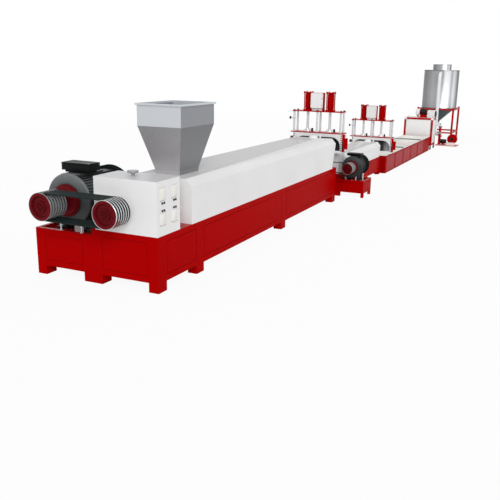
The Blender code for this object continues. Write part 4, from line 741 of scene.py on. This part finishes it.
# Screen changers. Each is a white body with an arch over the melt block, a red plate on it, and a second red
# plate on six bright pillars that carries two red hydraulic cylinders, whose pistons come down through it,
# and a control box.
PRESS_Y = 0.50
HEADS = (("left", 0.76), ("right", 0.24))
BODY_DEPTH = 0.32
BED_RISE = 0.3803
PLATE = 0.022
PLATE_HALF = 0.605
PLATES_APART = 0.44
polished = bare_steel("polished_steel", (0.74, 0.75, 0.77), 0.24, 9, (1, 1, 0.06), 0.5)
MELT_GREY = (0.030, 0.042, 0.041)
melt_grey = cast_iron("melt_block_grey", MELT_GREY, 0.40)
lit_block, lit_shader, lit_place = start_finish("melt_block_lit_side",
                                                {"Specular IOR Level": 0.2, "Roughness": 0.4})
lit = lit_place.part("Y").ramp(0.19, 0.02, run="SMOOTHSTEP")
lit.between(MELT_GREY, (0.60, 0.62, 0.65)).into(lit_shader, "Base Color")
# Its tops carry a painted highlight.
blackened = cast_iron("blackened_steel", (0.014, 0.017, 0.018), 0.38, 0.001, top_highlight=1.5)
door_white = sprayed_paint("door_white", (0.80, 0.795, 0.79), (0.86, 0.86, 0.85), 0.30, 0.40)


def bar(start, end, radius, steps=16):
    """A round bar between two points on a line along one axis, with its ends chamfered."""
    run = Vector(end) - Vector(start)
    length = run.length
    edge = min(0.002, radius * 0.2)
    return turn([(0, 0), (0, radius - edge), (edge, radius), (length - edge, radius), (length, radius - edge),
                 (length, 0)], start, run / length, steps)


def screen_changer(tag, start, bottom, block_finish):
    """Everything on one changer, from the drive side of its body and its underside."""
    prefix = f"changer_{tag}"
    end = start + BODY_DEPTH
    middle = start + BODY_DEPTH / 2
    bed = bottom + BED_RISE
    deck = bed + PLATE
    upper = deck + PLATES_APART
    top = upper + PLATE
    paint_nodes(white_paint, f"{prefix}_body")
    paint_nodes(block_finish, f"{prefix}_melt_block")
    paint_nodes(red_paint, f"{prefix}_upper_plate", f"{prefix}_side_bracket")

    block((start, PRESS_Y - PLATE_HALF, bed), (end, PRESS_Y + PLATE_HALF, deck))
    rounded(0.003)
    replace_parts(settle(f"{prefix}_press_bed", red_paint), f"{prefix}_lower_plate")
    posts = [(x, PRESS_Y + y) for x in (start + 0.052, end - 0.052) for y in (-0.545, 0, 0.545)]
    rise = upper - deck - 0.0003
    pillar = turn([(-0.004, 0), (-0.004, 0.032), (0.010, 0.032), (0.013, 0.024), (rise - 0.013, 0.024),
                   (rise - 0.010, 0.031), (rise, 0.031), (rise, 0)], (0, 0, 0), UP, 32)
    set_copies(pillar, [(x, y, deck) for x, y in posts])
    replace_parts(settle(f"{prefix}_pillars", polished), f"{prefix}_lower_plate")
    set_copies(hex_nut(0.019, 0.015), [(x, y, top) for x, y in posts])
    settle(f"{prefix}_pillar_nuts", blackened)

    for side, y in HEADS:
        low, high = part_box(f"{prefix}_rod_{side}")
        length = high.z - low.z
        turn([(0, 0), (0, 0.085), (0.030, 0.085), (0.038, 0.081), (0.044, 0.072), (0.048, 0.052),
              (0.072, 0.044), (0.075, 0.040), (0.075, 0.030), (length - 0.004, 0.030), (length, 0.026),
              (length, 0)], (middle, y, low.z), UP, 48)
        piston = settle(f"{prefix}_piston_{side}", polished, 40, f"{prefix}_{side}_piston")
        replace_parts(piston, f"{prefix}_rod_{side}")
        turn([(0, 0.046), (0, 0.074), (0.318, 0.074), (0.318, 0.046), (0, 0.046)], (middle, y, top + 0.042),
             UP, 48)
        rounded(0.002)
        settle(f"{prefix}_sleeve_{side}", red_paint)
        smooth_copy(f"{prefix}_cylinder_{side}", f"{prefix}_ram_{side}", red_paint, 0.003, 40)
        block((middle + 0.065, y - 0.100, deck), (middle + 0.105, y - 0.060, deck + 0.060))
        inset_faces(UP, 0.008, 0.006)
        rounded(0.002)
        settle(f"{prefix}_stroke_switch_{side}", blackened)
    reach = 0.175 / 2 - 0.018
    corners = [(middle + x, y + across)
               for _, y in HEADS for x in (-reach, reach) for across in (-reach, reach)]
    tie = bar((0, 0, 0.030), (0, 0, 0.370), 0.0112)
    set_copies(tie, [(x, y, top + 0.0003) for x, y in corners])
    settle(f"{prefix}_tie_rods", red_paint)
    set_copies(hex_nut(0.016, 0.015), [(x, y, top + 0.398) for x, y in corners])
    settle(f"{prefix}_tie_nuts", red_paint)

    low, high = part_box(f"{prefix}_control_box")
    block((low.x + 0.024, low.y, low.z + 0.050), high)
    case = rounded(0.016, 4)
    for y in (low.y, high.y - 0.018):
        block((low.x + 0.030, y, low.z), (high.x - 0.006, y + 0.018, low.z + 0.070))
        case = join([case, rounded(0.002)])
    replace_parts(settle(f"{prefix}_box_case", red_paint), f"{prefix}_control_box")
    block((low.x, low.y + 0.003, low.z + 0.055), (low.x + 0.022, high.y - 0.003, high.z - 0.004))
    rounded(0.010, 4)
    door = inset_faces((-1, 0, 0), 0.014, -0.002)
    block((low.x + 0.040, low.y + 0.026, low.z), (high.x - 0.020, high.y - 0.026, low.z + 0.052))
    join([door, rounded(0.003)])
    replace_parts(settle(f"{prefix}_box_door", door_white), f"{prefix}_control_box")
    join([turn([(0, 0), (0, 0.008), (0.004, 0.008), (0.006, 0.006), (0.006, 0)],
               (low.x + 0.002, low.y + 0.022, low.z + height), (-1, 0, 0), 16) for height in (0.12, 0.27)])
    settle(f"{prefix}_box_locks", blackened)

    bolts = [(start, y, bottom + 0.028 + 0.046 * step) for y in (-0.092, 1.022) for step in range(8)]
    set_copies(hex_nut(0.011, 0.008), bolts, (0, -pi / 2, 0))
    settle(f"{prefix}_body_bolts", blackened)

    knob_x = start + 0.052
    knob_z = bottom + 0.694
    arm = bar((knob_x, 1.060, knob_z), (knob_x, 1.125, knob_z), 0.007)
    block((knob_x - 0.032, 1.012, knob_z - 0.018), (knob_x + 0.032, 1.076, knob_z + 0.018))
    join([arm, rounded(0.006)])
    settle(f"{prefix}_knob_clamp", polished)
    turn([(0, 0), (0, 0.014), (0.008, 0.026), (0.022, 0.034), (0.036, 0.029), (0.046, 0.014), (0.048, 0)],
         (knob_x, 1.116, knob_z), (0, 1, 0), 32)
    settle(f"{prefix}_knob", blackened, 50)

    catch_z = bottom + 0.225
    block((start + 0.012, 1.0405, catch_z - 0.012), (start + 0.092, 1.115, catch_z + 0.064))
    rounded(0.005)
    settle(f"{prefix}_left_catch", dark_red)
    bar((start + 0.004, 1.050, catch_z + 0.026), (start + 0.004, 1.104, catch_z + 0.026), 0.022, 20)
    settle(f"{prefix}_left_catch_roller", blackened)
    block((start - 0.004, -0.152, bottom + 0.040), (start + 0.030, -0.124, bottom + 0.245))
    rounded(0.003)
    settle(f"{prefix}_post_slot_cover", blackened)
    bar((start + 0.030, -0.185, bottom + 0.308), (start + 0.030, -0.158, bottom + 0.308), 0.010)
    settle(f"{prefix}_grip_pin", zinc)


screen_changer("1", 7.22, 1.06, melt_grey)
screen_changer("2", 11.77, 0.575, lit_block)


# Water trough. A red panelled base of welded sheet carries a cream lined tank with two grey steel guide bars
# across it. Its panels are paler than its posts.
TROUGH_START = 11.55
BAY = 6.20 / 6
POST_WIDTH = 0.150
LAST_BAY = 16.72
PANEL_BOTTOM = 0.030
PANEL_TOP = 0.459
TANK_EDGE = 0.4965


def soft_enamel(name, specular, gloss, cells, edge, tone):
    """Enamel in the tone that a function gives for a place, with soft edges and a cloudy gloss."""
    material, shader, place = start_finish(name, {"Specular IOR Level": specular})
    tone(place).into(shader, "Base Color")
    (gloss + 0.12 * noise(place, *cells)).into(shader, "Roughness")
    soft_edges(place, edge).into(shader, "Normal")
    return material


def trough_tone(place):
    """Pale red panels between deeper red posts, up to the last bay, which is plain."""
    bays = (place.part("X") - TROUGH_START) * (1 / BAY)
    level = place.part("Z")
    panel = (bays.math("FRACT", bays) > POST_WIDTH / BAY) * (level > PANEL_BOTTOM) * (level < PANEL_TOP)
    streaks = noise(place, 16, 2, (1, 1, 0.1)).between((0.365, 0.044, 0.050), (0.415, 0.068, 0.075))
    return (panel * (place.part("X") < LAST_BAY)).between((0.330, 0.0005, 0.0008), streaks)


def tank_tone(place):
    """Cream, with the bars that lie above the tank's edge in grey."""
    cream = noise(place, 2.2, 3).between((0.76, 0.74, 0.70), (0.84, 0.82, 0.79))
    return (place.part("Z") > TANK_EDGE).between(cream, (0.22, 0.27, 0.29))


paint_nodes(soft_enamel("trough_red", 0.010, 0.26, (7, 4), 0.004, trough_tone), "trough_base")
paint_nodes(soft_enamel("cream_tank_with_grey_bars", 0.35, 0.34, (6, 3), 0.003, tank_tone), "trough_tank")


# Pelletizer. White sheet panels in a red frame with white corner pieces, on castors. The cutter's motor on
# its red bracket, the belt guard and the ribbed roller housing stand on top.
HUB_LEVEL = 0.0452
MOTOR_RIBS = 8
COVER_RIBS = 9
CUTTER_X = 18.35
DECK = 1.1303


def frame_paint(name, castors_top):
    """The red of the frames, with grey castors below a level."""
    def tone(place):
        red = noise(place, 1.3, 3).between((0.360, 0.0005, 0.0008), (0.410, 0.0005, 0.0008))
        return (place.part("Z") < castors_top).between(red, (0.035, 0.058, 0.062))
    return soft_enamel(name, 0.05, 0.22, (7, 4), 0.004, tone)


def castors(name, posts_x, posts_y, top):
    """A tyre on a hub in a fork under a plate, at the foot of each post."""
    feet = [(x, y, 0) for x in posts_x for y in posts_y]
    tyre = turn([(-0.018, 0.016), (-0.018, 0.037), (-0.012, 0.0452), (0.012, 0.0452), (0.018, 0.037),
                 (0.018, 0.016)], (0, 0, HUB_LEVEL), (0, 1, 0), 28)
    set_copies(tyre, feet)
    settle(f"{name}_castor_tyres", blackened)
    fork = bar((0, -0.029, HUB_LEVEL), (0, 0.029, HUB_LEVEL), 0.010)
    for side in (-0.024, 0.024):
        block((-0.017, side - 0.0025, 0.036), (0.017, side + 0.0025, top - 0.004))
        fork = join([fork, rounded(0.001)])
    block((-0.030, -0.030, top - 0.007), (0.030, 0.030, top - 0.0005))
    set_copies(join([fork, rounded(0.001)]), feet)
    settle(f"{name}_castor_forks", melt_grey)


def post_caps(posts_x, posts_y, half, bottom, top, width, segments):
    """A block with rounded edges round each of four posts, as one piece."""
    caps = []
    for x in posts_x:
        for y in posts_y:
            block((x - half, y - half, bottom), (x + half, y + half, top))
            caps.append(rounded(width, segments))
    join(caps)


def ribbed_motor(name, start, length, radius, replaced):
    """A small motor towards -Y with rings of cooling ribs, between two dark red end shields."""
    shield = length * 0.16
    core = radius * 0.86
    pitch = (length - 2 * shield) / MOTOR_RIBS
    profile = [(shield, 0), (shield, core)]
    for rib in range(MOTOR_RIBS):
        at = shield + rib * pitch
        profile += [(at + pitch * 0.30, core), (at + pitch * 0.34, radius), (at + pitch * 0.80, radius),
                    (at + pitch * 0.84, core)]
    profile += [(length - shield, core), (length - shield, 0)]
    turn(profile, start, NEAR_SIDE, 48)
    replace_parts(settle(f"{name}_ribs", blackened, 40), replaced)
    rim = radius * 0.98
    join([turn([(at, 0), (at, radius * 0.72), (at + shield * 0.3, rim), (at + shield, rim), (at + shield, 0)],
               start, NEAR_SIDE, 48) for at in (0, length - shield)])
    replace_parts(settle(f"{name}_end_shields", dark_red, 40), replaced)


paint_nodes(frame_paint("pelletizer_frame_red", 0.1495), "pelletizer_frame")
paint_nodes(white_paint, "pelletizer_cabinet")
castors("pelletizer", (18.03, 18.67), (-0.04, 0.93), 0.150)
post_caps((18.032, 18.668), (-0.038, 0.928), 0.050, 1.052, 1.146, 0.034, 4)
settle("pelletizer_corner_pieces", door_white, 60)
doors = []
for low, high in (((17.990, 0.010, 0.235), (18.0245, 0.880, 1.045)),
                  ((18.080, -0.0795, 0.235), (18.620, -0.046, 1.045))):
    block(low, high)
    doors.append(rounded(0.004, 3))
join(doors)
settle("pelletizer_doors", door_white)

block((18.21, 0.185, DECK), (18.49, 0.525, DECK + 0.016))
foot = rounded(0.003)
pedestal = block((18.24, 0.225, DECK + 0.012), (18.46, 0.485, DECK + 0.100))
for vertex in pedestal.data.vertices:
    if vertex.co.z > DECK + 0.05:
        vertex.co.x = CUTTER_X + (vertex.co.x - CUTTER_X) * 0.62
        vertex.co.y = 0.355 + (vertex.co.y - 0.355) * 0.66
join([foot, rounded(0.004)])
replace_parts(settle("cutter_motor_bracket", red_paint), "pelletizer_motor")
ribbed_motor("cutter_motor", (CUTTER_X, 0.485, 1.3153), 0.26, 0.110, "pelletizer_motor")
block((18.30, 0.31, 1.405), (18.40, 0.40, 1.440))
rounded(0.004)
settle("cutter_motor_cable_box", blackened)
smooth_copy("pelletizer_belt_guard", "cutter_belt_guard", door_white, 0.004, 35)

low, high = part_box("feed_roller_housing")
block((low.x + 0.008, low.y, low.z), (high.x - 0.008, high.y, high.z - 0.004))
housing = rounded(0.006)
for number in range(COVER_RIBS):
    y = low.y + 0.014 + (high.y - low.y - 0.028) * number / (COVER_RIBS - 1)
    block((low.x, y - 0.007, low.z + 0.012), (high.x, y + 0.007, high.z))
    housing = join([housing, rounded(0.003)])
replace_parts(settle("feed_roller_cover", door_white), "feed_roller_housing")
turn([(0, 0), (0, 0.105), (0.012, 0.112), (0.034, 0.112), (0.040, 0.104), (0.040, 0.040), (0.052, 0.034),
      (0.052, 0)], (CUTTER_X, low.y + 0.001, 1.262), NEAR_SIDE, 64)
settle("feed_roller_end_shield", melt_grey)


# Pellet silo. Bright stainless sheet rolled to a drum with a raised cap, on a grey cone with a white slide
# valve, in a red frame on castors. A painted reflection of the hall lies on the sheet in streaks that run
# down it.
SILO_CENTRE = (21.9, 0.445, 0)
SILO_POSTS_X = (21.205, 22.595)
SILO_POSTS_Y = (-0.250, 1.140)
DRUM_BOTTOM = 1.3003
DRUM_TOP = 2.8003
FOOT_RIM_TOP = 1.34
HEAD_RIM_BOTTOM = 2.765
CAP_RIM_BOTTOM = 3.0
ACROSS = (0.425, -0.905, 0)
SHEEN = [(0.0, 0.25), (0.15, 0.45), (0.42, 0.50), (0.48, 0.95), (0.60, 1.0), (0.68, 0.5), (0.76, 0.95),
         (0.90, 0.18)]


def sheet_with_painted_reflection(name, painted_brightness, radius):
    """Mirror bright rolled sheet with a painted reflection: streaks that lie across the drum and run down its
    height, darker at the rims and towards the bottom, and dimmed by a factor.
    """
    material, shader, place = start_finish(name, {"Metallic": 0.75})
    across = (place.dot(ACROSS) - Vector(ACROSS).dot(SILO_CENTRE)) * (0.5 / radius) + 0.5
    across = across + 0.03 * (noise(place, 1.6, 2, (1, 1, 0.05)) - 0.5)
    painted_reflection = across.node("ValToRGB", {"stops": SHEEN}, {0: across})
    level = place.part("Z")
    rim = (level < FOOT_RIM_TOP).most((level > HEAD_RIM_BOTTOM) * (level < 2.80)).most(level > CAP_RIM_BOTTOM)
    fine = noise(place, 9, 2, (1, 1, 0.02)) * 0.30 + 0.85
    painted_reflection = painted_reflection * (1 - 0.35 * rim) * level.ramp(1.30, 1.90, 0.80, 1.0) * fine
    painted_reflection.between((0, 0, 0), shade((0.955, 0.965, 1), painted_brightness)).into(shader, "Base Color")
    (0.33 + 0.10 * noise(place, 6, 3)).into(shader, "Roughness")
    soft_edges(place, 0.003).into(shader, "Normal")
    return material


silo_sheet = sheet_with_painted_reflection("stainless_drum_sheet", 1.0, 0.69)
# The cap's copy of the sheet is painted darker, as painted shade.
cap_sheet = sheet_with_painted_reflection("stainless_cap_sheet", 0.78, 0.36)
# The cone's grey carries a painted highlight on what faces up.
cone_steel = cast_iron("cone_grey", (0.075, 0.115, 0.122), 0.34, top_highlight=1.3)
turn([(DRUM_BOTTOM, 0.684), (DRUM_BOTTOM, 0.69), (1.330, 0.6905), (1.336, 0.6880), (2.764, 0.6880),
      (2.770, 0.6905), (DRUM_TOP, 0.69), (DRUM_TOP, 0.684), (DRUM_BOTTOM, 0.684)], SILO_CENTRE, UP, 144)
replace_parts(settle("silo_drum", silo_sheet), "silo_wall")
smooth_copy("silo_roof", "silo_cap", cap_sheet, 0.004, 40)
smooth_copy("silo_cone", "silo_hopper_cone", cone_steel, 0.003, 40)
smooth_copy("silo_outlet_valve", "silo_slide_valve", door_white, 0.004, 40)
turn([(0, 0), (0, 0.012), (0.040, 0.012), (0.040, 0.044), (0.046, 0.050), (0.054, 0.044), (0.054, 0)],
     (SILO_CENTRE[0], 0.360, 0.640), NEAR_SIDE, 32)
settle("silo_valve_handwheel", melt_grey)
paint_nodes(frame_paint("silo_frame_red", 0.0895), "silo_frame")
castors("silo", SILO_POSTS_X, SILO_POSTS_Y, 0.090)
post_caps(SILO_POSTS_X, SILO_POSTS_Y, 0.034, 1.2995, 1.345, 0.006, 2)
settle("silo_holding_lugs", red_paint)


# Conveying line. A blower on a plate pushes the pellets from the injector's stack along a bright pipe and up
# into the drum. The pipe is rolled steel with clamped collars, and the castings are sprayed red.
PIPE_UPRIGHT = (21.0550, 0.355)
BLOWER_SIDE = 19.9003
BLOWER_Y = -0.505
BLOWER_LEVEL = 0.24
BOLT_CIRCLE = 0.158
PLATE_TOP = 0.0303
pipe_steel = bare_steel("pipe_steel", (0.84, 0.85, 0.86), 0.22, 9, (1, 1, 0.1), 0.6)
flange_grey = cast_iron("flange_grey", (0.26, 0.30, 0.32), 0.40, 0.001)
smooth_copy("conveying_pipe", "blowing_pipe", pipe_steel, 0.0, 40)
join([turn([(0, 0.060), (0, 0.070), (0.003, 0.073), (0.037, 0.073), (0.040, 0.070), (0.040, 0.060)],
           (*PIPE_UPRIGHT, height), UP, 48) for height in (0.640, 1.500, 2.360)])
settle("pipe_collars", pipe_steel)

smooth_copy("blower_volute", "blower_scroll", red_paint, 0.003, 35)
turn([(0, 0.030), (0, 0.058), (0.010, 0.064), (0.016, 0.060), (0.016, 0.046), (0.004, 0.030)],
     (BLOWER_SIDE, -0.485, BLOWER_LEVEL), (-1, 0, 0), 48)
settle("blower_inlet_ring", blackened)
rim_bolts = []
for step in range(12):
    angle = 2 * pi * (step + 0.5) / 12
    rim_bolts.append((BLOWER_SIDE + 0.0002, BLOWER_Y + BOLT_CIRCLE * cos(angle),
                      BLOWER_LEVEL + BOLT_CIRCLE * sin(angle)))
set_copies(hex_nut(0.008, 0.005), rim_bolts, (0, -pi / 2, 0))
settle("blower_rim_bolts", dark_red)


def blower_base_tone(place):
    """Cream, with the plate at its foot in pale red."""
    cream = noise(place, 3, 3).between((0.76, 0.73, 0.70), (0.84, 0.81, 0.78))
    return (place.part("Z") < PLATE_TOP - 0.0001).between(cream, (0.62, 0.26, 0.26))


paint_nodes(soft_enamel("blower_base_enamel", 0.30, 0.34, (6, 3), 0.004, blower_base_tone), "blower_base")

STACK = (19.85, -0.035, PLATE_TOP)
stack = [turn([(0, 0), (0, 0.050), (0.395, 0.050), (0.395, 0)], STACK, UP, 48),
         turn([(0.46, 0), (0.46, 0.045), (0.615, 0.045), (0.655, 0.066), (0.655, 0)], STACK, UP, 48)]
block((19.80, -0.227, PLATE_TOP), (19.90, -0.131, 0.090))
join([*stack, rounded(0.004)])
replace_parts(settle("injector_stack", red_paint, 35), "pellet_injector")
join([turn([(0.395, 0), (0.395, 0.066), (0.400, 0.068), (0.455, 0.068), (0.460, 0.066), (0.460, 0)],
           STACK, UP, 48),
      turn([(0.655, 0), (0.655, 0.066), (0.660, 0.068), (0.695, 0.068), (0.700, 0.064), (0.700, 0)],
           STACK, UP, 48)])
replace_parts(settle("injector_flanges", flange_grey, 35), "pellet_injector")
ribbed_motor("injector_motor", (19.85, -0.060, 0.1503), 0.24, 0.085, "pellet_injector")
